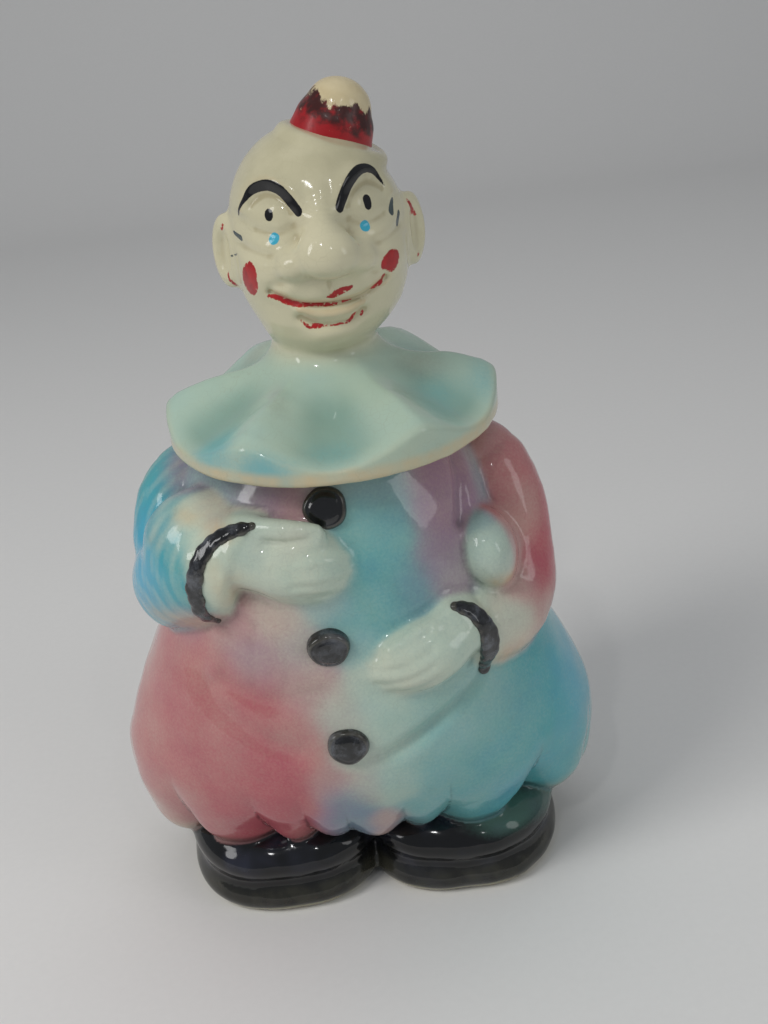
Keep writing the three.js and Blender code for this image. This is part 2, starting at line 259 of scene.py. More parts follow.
def bulge(f, p, eps=1.2):
    """How convex the surface is at p: above 0 on edges, below 0 in creases."""
    total = -6 * in_parts(f, p)
    for e in eps * np.eye(3):
        total += in_parts(f, p + e) + in_parts(f, p - e)
    return total / eps**2


def in_scene(name, data):
    """An object for a mesh, a light or a camera."""
    o = bpy.data.objects.new(name, data)
    bpy.context.scene.collection.objects.link(o)
    return o


def smooth_mesh(name, vertices, faces, material):
    """A smooth-shaded mesh, from vertices in metres."""
    mesh = bpy.data.meshes.new(name)
    mesh.from_pydata(vertices, [], faces)
    mesh.polygons.foreach_set("use_smooth", np.ones(len(faces), bool))
    mesh.materials.append(material)
    return mesh


def piece(name, body, stands_for, shape, material, masks=None):
    """A mesh object from vertices, quads and normals in the shape code's millimetres."""
    vertices, quads, normals = shape
    mesh = smooth_mesh(name, ((vertices + [0, AXIS_Y, 0]) * MM).tolist(), quads.tolist(), material)
    mesh.normals_split_custom_set_from_vertices(normals.tolist())
    for key, values in (masks or {}).items():
        mesh.attributes.new(key, "FLOAT", "POINT").data.foreach_set("value", values.astype(np.float32))
    o = in_scene(name, mesh)
    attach(o, body)
    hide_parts(*stands_for)


# ------------------------------------------------------------------ the body casting

WALL = 4.5
FLOOR_Z = 4.0
MOUTH_R = 30.5
MOUTH_FOOT = 160.0  # the mouth is bored down to this height
SLOT = (16.5, 2.5, 148.0)  # half length between the ends' centres, half width, height
SLOT_FROM = 20.0  # the slot is cut from here to the back
STOPPER_HOLE_R = 14.5
STOPPER_HOLE_TOP = 12.0

# height, half width, depth in front, depth behind
ROBE = table([
    [10, 84, 42, 38], [22, 84, 44, 40], [34, 86, 48, 44], [48, 87.5, 55, 49], [60, 86.5, 58.5, 51],
    [74, 81.5, 59.5, 51], [90, 73.5, 58.5, 50], [106, 66.5, 56.5, 49], [122, 62, 54.5, 48],
    [138, 58.5, 51.5, 45.5], [152, 54, 47, 42], [163, 48, 43, 39], [171, 41, 39, 37.5], [176, 36, 36, 36],
    [182, 34, 34, 34],
])

# The hem's folds: azimuth from the front in degrees, depth of the groove in mm, its half width in degrees.
HEM_GROOVES = [
    (-78, 2.4, 9), (-52, 5.4, 7), (-27, 5.2, 5), (-15, 4.8, 4.6), (-5, 3.6, 5.5), (9, 4.4, 6),
    (20, 5.2, 5.2), (48, 9, 9), (76, 2.2, 9), (103, 2.2, 8), (124, 2.4, 7), (141, 3, 6),
    (158, 2.6, 6), (176, 3.2, 6), (-166, 2.6, 6), (-147, 3, 6), (-128, 2.4, 7), (-106, 2.2, 8),
]


def waves(p):
    """The slight unevenness of hand-finished clay."""
    x, y, z = p.T
    return 0.22 * (
        np.sin(0.131 * x + 0.083 * z + 1.1) * np.sin(0.117 * y + 0.07 * x)
        + np.sin(0.171 * z + 0.09 * y + 2.0) * np.sin(0.151 * x - 0.06 * z)
        + 0.6 * np.sin(0.31 * x + 0.27 * y) * np.sin(0.29 * z + 0.11 * x + 0.5)
    )


# Folds and facets of the skirt's front: the curve's points across and up, its half width, its height.
ROBE_FOLDS = [
    ([(-47.5, 103), (-40, 101.5), (-32.5, 98.8), (-27, 97.8), (-19, 99.5), (-10, 101)], 4.5, -1.1),
    ([(-48, 97.5), (-44, 92.5), (-38, 88.3), (-32, 84), (-20.5, 79.3)], 4.5, -1.2),
    ([(-28, 124), (-29.5, 112), (-30.5, 103)], 1.6, -0.3),
    ([(-20.3, 122), (-18.6, 112), (-19.7, 105)], 1.6, -0.3),
    ([(-30.5, 131), (-24.5, 127.5), (-19, 123.5), (-12, 120), (-6, 119.5)], 3.4, 1.3),
    ([(-41, 119), (-42.5, 112), (-45.5, 104)], 3, 1),
    ([(-52, 98), (-55.5, 88), (-58, 80)], 3.2, 0.6),
]


def front_folds(p):
    swell = np.hypot((p[:, 0] + 27) / 16, (p[:, 2] - 110) / 12)
    return ridges(p[:, [0, 2]], ROBE_FOLDS) + 0.9 * np.exp(-(swell**3))


def robe(p):
    x, y, z = p.T
    wide, front, back = (f(z) for f in ROBE)
    deep = np.where(y < 0, front, back)
    side = oval(x, y, wide, deep, 90)
    azimuth = np.degrees(np.arctan2(x / wide, -y / deep))
    groove = np.zeros(len(p))
    rise = np.zeros(len(p))
    for at, depth, width in HEM_GROOVES:
        off = np.minimum(np.abs((azimuth - at + 180) % 360 - 180) / width, 6)
        groove += depth * np.exp(-(off**1.2) * 1.4)
        rise += depth * np.exp(-(off**1.5) * 1.2)
    side = side + groove * fade(z, 24, 68)
    near = (y < -15) & (x < 2) & (z > 70) & (z < 140) & (np.abs(side) < 10)
    if near.any():
        side[near] -= front_folds(p[near])
    frontness = np.clip(-y / np.maximum(deep, 1), 0, 1)
    hem = 17.0 + 8.0 * frontness + 1.6 * rise
    return smax(side, (hem - z) * 0.95, 11)


SHOE_AT = (32.0, -0.5)  # the middle of the viewer's right shoe: across, and away from the viewer
SHOE_TOP = 32.0
SHOE_OUTLINE = (38.5, 45.0, 2.45)  # half width, half length, and how square it is: 2 is an ellipse
SHOE_PROFILE = table([
    [-1, 4.6], [0, 3.8], [1.5, 1.9], [3.5, 0.6], [6, 0], [8.5, 0.7], [10.5, 2.0], [12.9, 3.3],
    [15.5, 2.2], [18, 1.2], [20.5, 1.1], [23, 2.2], [26, 4.8], [29, 9.5], [31.5, 16], [33, 25],
], blur=1.3)[0]


def shoe(p, sign):
    x = p[:, 0] - sign * SHOE_AT[0]
    y = p[:, 1] - SHOE_AT[1]
    z = p[:, 2]
    wide, long, square = SHOE_OUTLINE
    u, v = np.abs(x) / wide + 1e-6, np.abs(y) / long + 1e-6
    s = (u**square + v**square) ** (1 / square)
    u, v = u ** (square - 1) / wide, v ** (square - 1) / long
    slope = s ** (1 - square) * np.sqrt(u**2 + v**2)
    side = (s - 1) / np.maximum(slope, 1 / 60) + SHOE_PROFILE(z)
    side = side / np.sqrt(1 + (SHOE_PROFILE(z + 0.5) - SHOE_PROFILE(z - 0.5)) ** 2)
    return smax(side, np.maximum(z - SHOE_TOP, -z), 1.0)


def shoes(p):
    return within(p, (-72, -48, 0), (72, 48, 33), 14, lambda q: smin(shoe(q, -1), shoe(q, 1), 2.2))


def foot_well(p):
    """The recess under the floor, which leaves room for the stopper."""
    x, y, z = p.T
    return smax(oval(x, y, 50.0, np.where(y < 0, 31.0, 27.0), 60), z - FLOOR_Z, 1.5)


def figure_base(p):
    return smax(smin(robe(p), shoes(p), 2.5), -foot_well(p), 1.2)


# Arms: x, y, z, radius from the shoulder to the wrist; then the wrist's centre and the way the cuff faces.
ARM_RIGHT = [
    (-52.5, -17.5, 128, 17.5), (-48, -23, 133, 19), (-41, -30, 139, 19), (-32, -36.5, 144, 16.5),
    (-20, -44, 147, 13.5),
]
SHOULDER_RIGHT = [(-38, 8, 160, 12.5), (-49, 0, 151, 16), (-52.5, -8, 139, 16.5)]
CUFF_RIGHT = (np.array([-25.5, -41.0, 145.0]), np.array([0.80, -0.52, -0.30]))
ARM_LEFT = [
    (55.5, -14, 117, 16.5), (56, -20, 110, 16), (49, -29, 107, 15.5), (40, -36, 109.5, 14.5),
    (32, -41, 112, 13),
]
SHOULDER_LEFT = [(40, 7, 160, 12.5), (53.5, -1, 147, 16.0), (57.5, -8, 130, 16.0), (57, -14, 116, 16)]
CUFF_LEFT = (np.array([39.0, -37.0, 111.0]), np.array([-0.84, -0.46, 0.24]))
CUFF_EDGE = 2.5  # how round the cuff's edge is


def limb(p, rows, shape=chain):
    """shape along the rows of x, y, z, radius, worked out only near them."""
    rows = np.array(rows, float)
    low, high = (rows[:, :3] - rows[:, 3:]).min(0), (rows[:, :3] + rows[:, 3:]).max(0)
    return within(p, low, high, 10, lambda q: shape(q, rows))


def arm(p, rows, cuff):
    """A full sleeve, cut off square where the hand comes out."""
    at, faces = cuff
    faces = faces / np.linalg.norm(faces)
    return limb(p, rows, lambda q, r: smax(chain(q, r), (q - at) @ faces, CUFF_EDGE))


def sleeve_right(p):
    def fullness(q):
        puff = ellipsoid(q, (-41.5, -27, 145), (21, 17, 19.5), turned(ry=-8))
        return smax(puff, (q - CUFF_RIGHT[0]) @ CUFF_RIGHT[1], CUFF_EDGE)

    over = within(p, (-62, -45, 122), (-20, -8, 168), 8, fullness)
    return smin(limb(p, SHOULDER_RIGHT), smin(arm(p, ARM_RIGHT, CUFF_RIGHT), over, 2.0), 2.5)


def sleeve_left(p):
    puff = within(p, (36, -52, 114), (66, -14, 152), 8, lambda q: ellipsoid(
        q, (49.5, -27, 132.5), (10.0, 15.5, 14.5), turned(ry=-14)))
    lower = arm(p, ARM_LEFT, CUFF_LEFT)
    return smin(smin(limb(p, SHOULDER_LEFT), lower, 4.0), puff, 3.6)


def on_chest(x, z, out):
    """A point that stands out from the robe's front by that much."""
    wide, front = ROBE[0](z), ROBE[1](z)
    return np.array([x, -front * math.sqrt(max(0, 1 - (x / wide) ** 2)) - out, z])


def hand(p, lumps, thumb, lines, low, high):
    """A mitten hand in low relief: rounded lumps, a thumb, and the lines between the fingers."""
    def close(q):
        d = chain(q, thumb)
        for centre, radii, tilt in lumps:
            d = smin(d, ellipsoid(q, centre, radii, turned(ry=tilt)), 4.0)
        plane = q[:, [0, 2]]
        for points in lines:
            d = d + 0.5 * bell(flat_chain(plane, points), 1.5)
        return d

    return within(p, low, high, 8, close)


HAND_RIGHT = dict(
    lumps=[((-11, -46.0, 143.5), (17.5, 12.0, 12.5), 6), ((-27, -42, 147.5), (12.0, 11.5, 11.0), 0)],
    thumb=[(-27, -44, 157, 4.2), (-14, -50, 158, 3.4), (-4, -50.5, 156, 2.6)],
    lines=[
        [(-20, 154.5), (-10.5, 155.2), (-2, 157)], [(-12, 150.5), (-4, 150.8), (4, 149)],
        [(-13, 146), (-4, 145.8), (5, 144.3)], [(-13, 141.5), (-4, 140.8), (4, 139.8)],
        [(-12, 137), (-5, 136), (2, 135.5)],
    ],
    low=(-42, -62, 128), high=(9, -28, 163),
)
HAND_LEFT = dict(
    lumps=[((22.5, -51.5, 109), (18.0, 11.2, 11.2), -12), ((36, -43.5, 113.5), (11.5, 11.0, 11.0), 0)],
    thumb=[(34, -48, 121, 3.4), (25, -54, 118.5, 3.0), (15, -57.5, 114.5, 2.4)],
    lines=[
        [(27, 120), (18, 116.5), (9, 113)], [(27, 115), (17, 110.5), (7, 108.5)],
        [(27, 110), (17, 105.5), (8, 103)], [(28, 105), (19, 100.5), (12, 99)],
    ],
    low=(3, -65, 92), high=(50, -28, 132),
)


hand_right = partial(hand, **HAND_RIGHT)
hand_left = partial(hand, **HAND_LEFT)


BELLY_CREASE = [
    (*on_chest(3, 75.5, 1.4), 0.8), (*on_chest(10, 76.2, 0.6), 1.9), (*on_chest(18, 79.5, 0.3), 2.3),
    (*on_chest(28.5, 85.5, 0.3), 2.2), (*on_chest(38, 91.5, 0.8), 1.6), (*on_chest(46, 98, 1.6), 0.6),
]
CHEST_CREASE = [
    (*on_chest(41, 168, 2), 0.8), (*on_chest(43, 158, 1), 1.8), (*on_chest(42, 146, 0.8), 1.6),
]


def outside(p):
    d = figure_base(p)
    d = smax(d, -within(p, (-10, -64, 68), (48, -30, 102), 8, lambda q: chain(q, BELLY_CREASE)), 3.5)
    d = smax(d, -within(p, (34, -46, 138), (46, -20, 170), 8, lambda q: chain(q, CHEST_CREASE)), 4.5)
    d = smin(d, hand_right(p), 3.6)
    d = smin(d, hand_left(p), 3.6)
    d = smin(d, sleeve_right(p), 2.4)
    d = smin(d, sleeve_left(p), 2.4)
    return d + waves(p)


def chamber(p):
    """The hollow, one wall's thickness inside the robe and the shoes."""
    return figure_base(p) + WALL


def openings(p):
    x, y, z = p.T
    away = np.hypot(x, y)
    mouth = smax(away - MOUTH_R, MOUTH_FOOT - z, 2)
    run = np.hypot(np.maximum(np.abs(x) - SLOT[0], 0), z - SLOT[2]) - SLOT[1]
    hole = np.maximum(away - STOPPER_HOLE_R, z - STOPPER_HOLE_TOP)
    return np.minimum(np.minimum(mouth, np.maximum(run, SLOT_FROM - y)), hole)


def hollow(p):
    return np.minimum(chamber(p), openings(p))


def body(p):
    d = np.maximum(smax(outside(p), p[:, 2] - MOUTH_Z, 2.2), -p[:, 2])
    d = smax(d, -chamber(p), 1.0)
    return smax(d, -openings(p), 1.4)


def spray(p, spots):
    """How much of a colour lands at p, from (x, y, z, reach x, y, z, strength) spots."""
    bare = np.ones(len(p))
    for x, y, z, rx, ry, rz, strength in spots:
        d = norm((p - [x, y, z]) / [rx, ry, rz])
        bare *= 1 - strength * np.exp(-(d**2.6) * 0.9)
    return 1 - bare


def on_robe(azimuth, z):
    """A point of the robe's surface."""
    a = math.radians(azimuth)
    wide, front, back = (float(f(z)) for f in ROBE)
    return wide * math.sin(a), -(front if math.cos(a) > 0 else back) * math.cos(a), z


# The airbrushed colours. On the robe: azimuth, height, reach in mm, turquoise, rose. On the arms, x, y, z
# stand in place of azimuth and height.
ROBE_PAINT = [
    (-82, 62, 20, 0, 0.85), (-88, 34, 16, 0, 0.6), (-66, 34, 11, 0, 0.6), (-58, 60, 16, 0, 0.8),
    (-46, 42, 13, 0, 0.85), (-34, 66, 13, 0, 0.9), (-32, 46, 13, 0, 1), (-22, 36, 9, 0, 1),
    (-14, 34, 7, 0, 0.85), (-17, 52, 10, 0, 1), (-20, 72, 10, 0, 0.95), (-15, 86, 8, 0, 0.75),
    (-34, 88, 11, 0, 0.85), (-52, 84, 12, 0, 0.9), (-64, 104, 12, 0, 0.85), (-40, 104, 9, 0, 0.8),
    (-26, 98, 9, 0, 0.95), (-28, 112, 8, 0.25, 0.55), (-14, 104, 8, 0.12, 0.6), (-12, 116, 6, 0.25, 0.3),
    (-7, 66, 6, 0.1, 0.6), (-4, 92, 7, 0.15, 0.2), (0, 78, 6, 0.2, 0.1), (0, 62, 5, 0.25, 0.25),
    (-5, 46, 7, 1, 0.2), (-4, 58, 6, 0.95, 0.2), (-6, 34, 6, 1, 0.25), (4, 44, 4.5, 0.1, 0.5),
    (5, 32, 4.5, 0.1, 0.55), (10, 34, 5, 0.9, 0.1), (11, 48, 5, 0.8, 0), (8, 62, 6, 0.4, 0),
    (9, 84, 8, 0.38, 0), (8, 100, 8, 0.3, 0), (20, 36, 8, 0.85, 0), (28, 46, 10, 0.85, 0),
    (20, 62, 9, 0.8, 0), (18, 78, 8, 0.65, 0), (24, 94, 9, 0.5, 0), (38, 44, 11, 0.95, 0),
    (34, 64, 11, 0.85, 0), (32, 82, 11, 0.7, 0), (46, 78, 10, 0.8, 0), (50, 60, 12, 1, 0),
    (58, 44, 13, 1, 0), (60, 82, 12, 1, 0), (62, 104, 12, 0.95, 0), (76, 60, 16, 0.95, 0),
    (80, 34, 13, 0.75, 0), (95, 80, 18, 0.8, 0), (96, 40, 18, 0.7, 0), (-12, 164, 7, 0.1, 0.65),
    (-26, 166, 8, 0.45, 0.5), (-44, 168, 9, 0.7, 0.2), (4, 168, 8, 0.6, 0.1), (8, 156, 7, 0.75, 0),
    (12, 140, 9, 0.85, 0), (6, 128, 8, 0.8, 0), (20, 150, 8, 0.75, 0), (24, 166, 8, 0.7, 0.1),
    (24, 134, 7, 0.9, 0.1), (33, 140, 5.5, 0.5, 0.6), (38, 152, 6, 0.4, 0.65), (42, 164, 6, 0.35, 0.7),
    (36, 132, 5, 0.45, 0.45), (2, 118, 5, 0.6, 0), (-4, 134, 6, 0.5, 0.1), (-20, 128, 6, 0.1, 0.4),
    (-34, 124, 6, 0.1, 0.7), (-60, 122, 8, 0.2, 0.7), (60, 122, 8, 0.5, 0.4), (120, 60, 26, 0.8, 0),
    (150, 100, 22, 0.5, 0.05), (180, 60, 22, 0.35, 0.25), (180, 130, 22, 0.5, 0.1), (150, 30, 18, 0.7, 0),
    (-150, 60, 24, 0, 0.75), (-120, 60, 26, 0, 0.6), (-150, 100, 20, 0.1, 0.5), (-165, 30, 16, 0.1, 0.8),
    (-120, 110, 18, 0.2, 0.5), (120, 110, 18, 0.6, 0.3), (150, 150, 16, 0.3, 0.6),
    (-150, 150, 16, 0.8, 0.2),
]
LIMB_PAINT = [
    (-68, -12, 140, 13, 1, 0), (-66, -24, 128, 10, 1, 0), (-60, -36, 127, 8, 0.75, 0.1),
    (-50, -42, 124, 6, 0.1, 0.4), (-62, -8, 158, 10, 0.95, 0), (-46, -14, 168, 8, 0.6, 0.4),
    (-60, -32, 146, 10, 1, 0), (-51, -44, 141, 7, 0.85, 0), (-58, -40, 136, 9, 1, 0),
    (-54, -36, 156, 7, 0.65, 0), (-44, -40, 162, 5, 0.05, 0), (-36, -38, 164, 5, 0.1, 0.25),
    (-40, -50, 150, 5, 0.1, 0), (-34, -48, 142, 7, 0.05, 0), (-66, 6, 125, 14, 0.85, 0.1),
    (-60, 20, 145, 14, 0.9, 0), (-44, -40, 122, 5, 0, 0.5), (72, -8, 130, 9, 0, 1),
    (70, -20, 118, 8, 0, 0.95), (66, -20, 142, 7, 0, 0.7), (60, -18, 156, 8, 0, 0.8),
    (50, -12, 168, 8, 0.05, 0.7), (68, -6, 150, 9, 0, 0.9), (68, -26, 104, 8, 0.05, 0.55),
    (56, -38, 100, 6, 0.05, 0.35), (54, -42, 112, 6, 0.1, 0.15), (60, -36, 122, 5, 0.05, 0.6),
    (50, -44, 128, 5, 0.3, 0.05), (51, -42, 138, 5, 0.35, 0.05), (59, -30, 136, 4, 0.1, 0.6),
    (46, -36, 150, 4, 0.6, 0.1), (47, -32, 160, 5, 0.85, 0), (66, 10, 120, 14, 0.1, 0.85),
    (58, 20, 150, 14, 0.1, 0.75), (42, -48, 104, 6, 0.2, 0),
]


# Sprayed spots: x, y, z, reach in x, y and z, strength.
SLEEVE_TAN = [
    (-46, -42, 161, 8, 9, 3, 0.6), (-34, -47, 158, 6, 7, 3, 0.7), (-34, -49, 143, 5, 7, 9, 0.5),
    (-58, -34, 154, 6, 8, 4, 0.25), (-56, -38, 124, 10, 9, 4, 0.6), (52, -44, 100, 7, 8, 5, 0.5),
    (53, -40, 126, 5, 8, 3, 0.7), (44, -46, 118, 5, 7, 4, 0.4),
]
SHOE_GREEN = [(50, -34, 27, 18, 14, 6, 1.0), (66, -12, 24, 10, 24, 8, 0.9), (66, 10, 20, 8, 24, 9, 0.4)]
SKY_BLUE = [
    (-66, -26, 138, 15, 22, 20, 0.9), (84, -10, 84, 14, 40, 34, 0.7), (60, -46, 40, 16, 16, 12, 0.4),
]


def airbrush(p, spots):
    """The turquoise and the rose at p, blended between the spots."""
    total = np.full(len(p), 1e-9)
    fields = np.zeros((2, len(p)))
    for x, y, z, reach, turquoise, rose in spots:
        d = norm(p - [x, y, z]) / reach
        weight = np.exp(-0.9 * np.minimum(d, 6) ** 2)
        total += weight
        fields += weight * np.array([[turquoise], [rose]])
    return fields / total


def body_masks(p):
    robe_d, shoe_d = in_parts(robe, p), in_parts(shoes, p)
    hands = np.minimum(in_parts(hand_right, p), in_parts(hand_left, p))
    sleeves = np.minimum(in_parts(sleeve_right, p), in_parts(sleeve_left, p))
    inside = in_parts(hollow, p)
    on_hands = fade(hands, 0.2, 2.6) * smooth(robe_d, -0.2, 2.2)
    on_sleeves = smooth(np.minimum(robe_d, hands) - sleeves, -1.6, 2.2)
    rings = norm((p - [-36, -46, 143]) * [1, 0.6, 1])
    wander = np.sin(0.21 * p[:, 2] + 0.17 * p[:, 1]) + 0.6 * np.sin(0.37 * p[:, 0] - 0.29 * p[:, 2])
    swirl = np.sin(1.15 * rings + 1.6 * wander) + 0.6 * np.sin(2.3 * rings - 1.1 * wander)
    swirl *= smooth(rings, 7, 12) * on_sleeves * (p[:, 0] < -20)
    on_cloth = airbrush(p, [(*on_robe(a, z), *rest) for a, z, *rest in ROBE_PAINT])
    on_limbs = airbrush(p, LIMB_PAINT)
    turquoise, rose = on_cloth + (on_limbs - on_cloth) * on_sleeves
    turquoise = turquoise + 0.09 * swirl * (0.4 + turquoise)
    z = p[:, 2]
    lobes = fade(z, 20, 33) * smooth(shoe_d, 0.5, 4.0)
    return {
        "turquoise": turquoise + (0.16 - turquoise) * 0.85 * on_hands,
        "rose": rose * (1 - 0.9 * on_hands) * (1 - 0.6 * lobes),
        "black": smooth(robe_d - shoe_d, -1.0, 2.0) * fade(z, 30, 36),
        "green": spray(p, SHOE_GREEN),
        "sky": spray(p, SKY_BLUE),
        "edge": np.clip(bulge(outside, p), -1, 1) * (1 - 0.6 * on_hands),
        "bare": 1 - smooth(inside, 0.4, 1.4) * smooth(z, 0.3, 0.8),
        "tan": np.maximum(0.7 * lobes, spray(p, SLEEVE_TAN)),
        "foot": fade(z, 0.8, 5.5),
        "sole": fade(z, 9, 13),
        # Painted shade: the underside of the hem, just above the shoes, is darkened.
        "hem": fade(robe_d, 0.0, 3.0) * fade(shoe_d, 0.5, 5.0),
    }


# ------------------------------------------------------------------ head and collar

HEAD_AT = np.array([6.6, 0.0, 200.0])
HEAD_TURN = turned(rz=3.5)
EAR_AT = np.array([29.4, 3.0, 32.5])
NECK_SHIFT = 2.6  # the neck stands this much to the viewer's left of the head

# height above the neck's foot, half width, depth in front, depth behind
SKULL = table([
    [-6, 16, 16, 16], [0, 15.8, 15.8, 16], [4, 17.4, 19.0, 16.5], [8, 20.6, 23.0, 18.5],
    [13, 23.8, 25.0, 22], [19, 26.2, 25.6, 25.5], [26, 27.6, 26.5, 28], [34, 27.9, 27.3, 30],
    [42, 27.5, 28, 30.5], [50, 26.5, 27.5, 29.5], [57, 23.6, 24.5, 26.5], [62, 20, 20.5, 22.5],
    [66, 15, 15.5, 17], [69, 9, 9.5, 10], [70.2, 1, 1, 1],
], blur=1.0)


def skull(q):
    x, y, z = q.T
    wide, front, back = (f(np.minimum(z, 70.2)) for f in SKULL)
    side = oval(x, y, wide, np.where(y < 0, front, back), 60)
    steep = (SKULL[0](z + 0.5) - SKULL[0](z - 0.5)) ** 2
    side /= np.sqrt(1 + np.minimum(steep, 9))
    crown = np.column_stack([x, y, np.maximum(z, 40)])
    return smax(side, ellipsoid(crown, (0, 1, 40), (29, 32, 30.2)), 3)


# The face's low relief, on one side of its middle. Swellings: across, up, reach across, reach up, height.
SWELLINGS = [
    (14, 47.5, 9, 8, -2.4), (14.3, 47, 6.4, 5.2, 2.1), (17, 30.5, 9, 8, 2.4),
    (6, 24.8, 9, 4.6, 2), (0, 8.5, 8, 5.5, 1.4), (0, 58, 14, 7, 0.8), (26, 42, 5, 10, -0.8),
    (14.5, 38.8, 6, 3, 0.7),
]
# Folds: the curve's points across and up, its half width, its height.
FOLDS = [
    ([(5.2, 47.5), (7.5, 53.5), (14, 57.6), (20, 55), (23, 48.5)], 2.6, 1.5),
    ([(8.5, 48), (11, 51.4), (15, 52.4), (19.5, 49.8)], 1.2, -0.45),
    ([(8.5, 44), (13, 41.8), (19, 42.8)], 1.5, -0.4),
    ([(7.5, 40.2), (10.5, 37.2), (15, 35.9), (20, 36.2), (27, 37.5)], 2.2, -1.2),
    ([(9, 33), (11.5, 29.5), (14.5, 27.2), (17, 26)], 2, -0.9),
    ([(0, 19.4), (6, 19.9), (11, 21), (14.6, 22.8), (17.4, 24.2)], 1.1, -1.4),
    ([(0, 16.6), (5, 17), (9, 18.6)], 2, 1.5),
    ([(0, 12.8), (5, 13.2), (9.5, 15.6)], 1.8, -1),
    ([(0, 26.5), (0, 23.5)], 1.6, -0.3),
]


def relief(q):
    across, up = np.abs(q[:, 0]), q[:, 2]
    height = np.zeros(len(q))
    for x, z, wide, tall, tallness in SWELLINGS:
        height += tallness * np.exp(-np.hypot((across - x) / wide, (up - z) / tall) ** 3)
    height += ridges(np.column_stack([across, up]), FOLDS)
    return height * smooth(-q[:, 1], 3, 14)


def face(q):
    """The head in its own frame: the face looks along -y, z is from the neck's foot."""
    bent = q.copy()
    bent[:, 0] += NECK_SHIFT * fade(q[:, 2], -2, 15)
    bent[:, 0] *= 1 + 0.14 * smooth(q[:, 2], 40, 60) * smooth(q[:, 0], 6, 26)
    d = skull(bent)
    m = np.column_stack([np.abs(q[:, 0]), q[:, 1], q[:, 2]])
    near = (np.abs(d) < 10) & (q[:, 1] < -2)
    if near.any():
        d[near] -= relief(q[near])
    nose = chain(q, [(0, -24, 51, 2.6), (0, -27.5, 45, 4.2), (0, -29.5, 39.5, 6.2)])
    nose = smin(nose, ellipsoid(q, (0.6, -30.5, 36.0), (9.4, 8.4, 7.4)), 3)
    nose = smin(nose, ellipsoid(m, (9.4, -26.6, 33.0), (5.2, 5.0, 4.8)), 3.5)
    return smin(d, nose, 3.8)


def ear(q, sign):
    """An ear that stands out like a shell, thicker round its rim than in its hollow."""
    q = (q - EAR_AT * [sign, 1, 1]) * [sign, 1, 1] @ turned(rx=6, rz=-30)
    rim = ellipsoid(q, (0, 0, 0), (3.4, 7.4, 11.8))
    rim = smax(rim, -ellipsoid(q, (3.4, -2.2, 0.8), (3.0, 4.2, 7.4)), 2.2)
    return smin(rim, ellipsoid(q, (-2.8, -3.0, -1.5), (3.2, 5.0, 8.0)), 2.6)


def head(p):
    q = (p - HEAD_AT) @ HEAD_TURN
    d = face(q)
    for sign in (-1, 1):
        at = EAR_AT * [sign, 1, 1]
        d = smin(d, within(q, at - [10, 13, 18], at + [10, 13, 18], 6, lambda r: ear(r, sign)), 3.6)
    return d


HAT_AT = np.array([13.6, 0.5, 264.2])
HAT_TURN = turned(ry=23)
HAT_R = 13.1
HAT_TAPER = 0.24


def brim(p):
    q = (p - HAT_AT) @ HAT_TURN
    ring = np.hypot(np.hypot(q[:, 0] - 1.2, q[:, 1] + 0.6) - 15.0, q[:, 2] + 2.3)
    return ring - 2.6


def hat(p):
    q = (p - HAT_AT) @ HAT_TURN
    r, z = np.hypot(q[:, 0], q[:, 1]), q[:, 2]
    side = (r - (HAT_R - HAT_TAPER * z)) * 0.97
    cone = smax(side, ellipsoid(q, (0, 0, 5), (11.6, 11.6, 12.6)), 2.5)
    cone = smin(cone, smax(side, z - 8, 3), 2)
    return smax(cone + 0.15 * waves(p * 3), -3 - 0.24 * np.maximum(q[:, 0], 0) - z, 1)


COLLAR_TOP = table([
    [0, 204], [15, 203], [17, 200.5], [19, 197.5], [22, 194], [27, 190], [34, 185.6], [43, 181],
    [50, 178.2], [55, 176.8], [60, 175.5],
], blur=1.2)[0]
COLLAR_UNDER = table([
    [0, 177.2], [38, 177.2], [42, 173.0], [46, 172.1], [52, 172.1], [55, 172.8], [60, 175],
], blur=0.8)[0]
RIM_R = 54.5
NECK_Z = 203.0  # the collar's glaze ends and the head's begins
COLLAR_X = 4.0  # the collar and the neck sit this much to the viewer's right of the mouth's axis
RING = (25.0, 29.0, 164.0, 172.0)  # the locating ring: inner and outer radius, its foot, its middle


def collar(p):
    x, y, z = p.T
    x = x - COLLAR_X * smooth(np.maximum(np.hypot(x, y) - 36, z - 168), 0, 12)
    r = np.hypot(x, y)
    angle = np.arctan2(y, x)
    pleat = 1.03 - np.sqrt(np.sin(3 * angle) ** 2 + 0.012) ** 1.3
    lift = 10.0 * pleat * smooth(r, 14, 46) * (1 - 0.2 * smooth(r, 50, 56))
    top = COLLAR_TOP(r) + lift
    slope = COLLAR_TOP(r + 0.5) - COLLAR_TOP(r - 0.5)
    upper = (z - top) / np.sqrt(1 + slope**2 + (6 * lift / np.maximum(r, 8) * 0.5) ** 2)
    rim = r - RIM_R - 0.5 * pleat
    disc = smax(smax(upper, (COLLAR_UNDER(r) - z) * 0.8, 2.2), rim, 1.4)
    inner, outer, foot, middle = RING
    wall = np.abs(np.hypot(p[:, 0], p[:, 1]) - (inner + outer) / 2) - (outer - inner) / 2
    return smin(disc, smax(wall, np.abs(z - middle) - (middle - foot), 1), 1)


def lid_hollow(p):
    x, y, z = p.T
    bore = np.hypot(x - COLLAR_X * smooth(z, 172, 182), y) - np.interp(z, [182, 194], [25, 12.5])
    bore = smax(bore, z - 212, 1)
    q = (p - HEAD_AT) @ HEAD_TURN
    return np.minimum(bore, smax(skull(q) + 5.5, 10 - q[:, 2], 1))


def lid(p):
    d = smin(head(p), collar(p), 3.0)
    d = smin(d, within(p, (-8, -20, 250), (36, 20, 276), 8, brim), 2.2)
    return smax(d + 0.35 * waves(p * 1.7), -lid_hollow(p), 1.0)


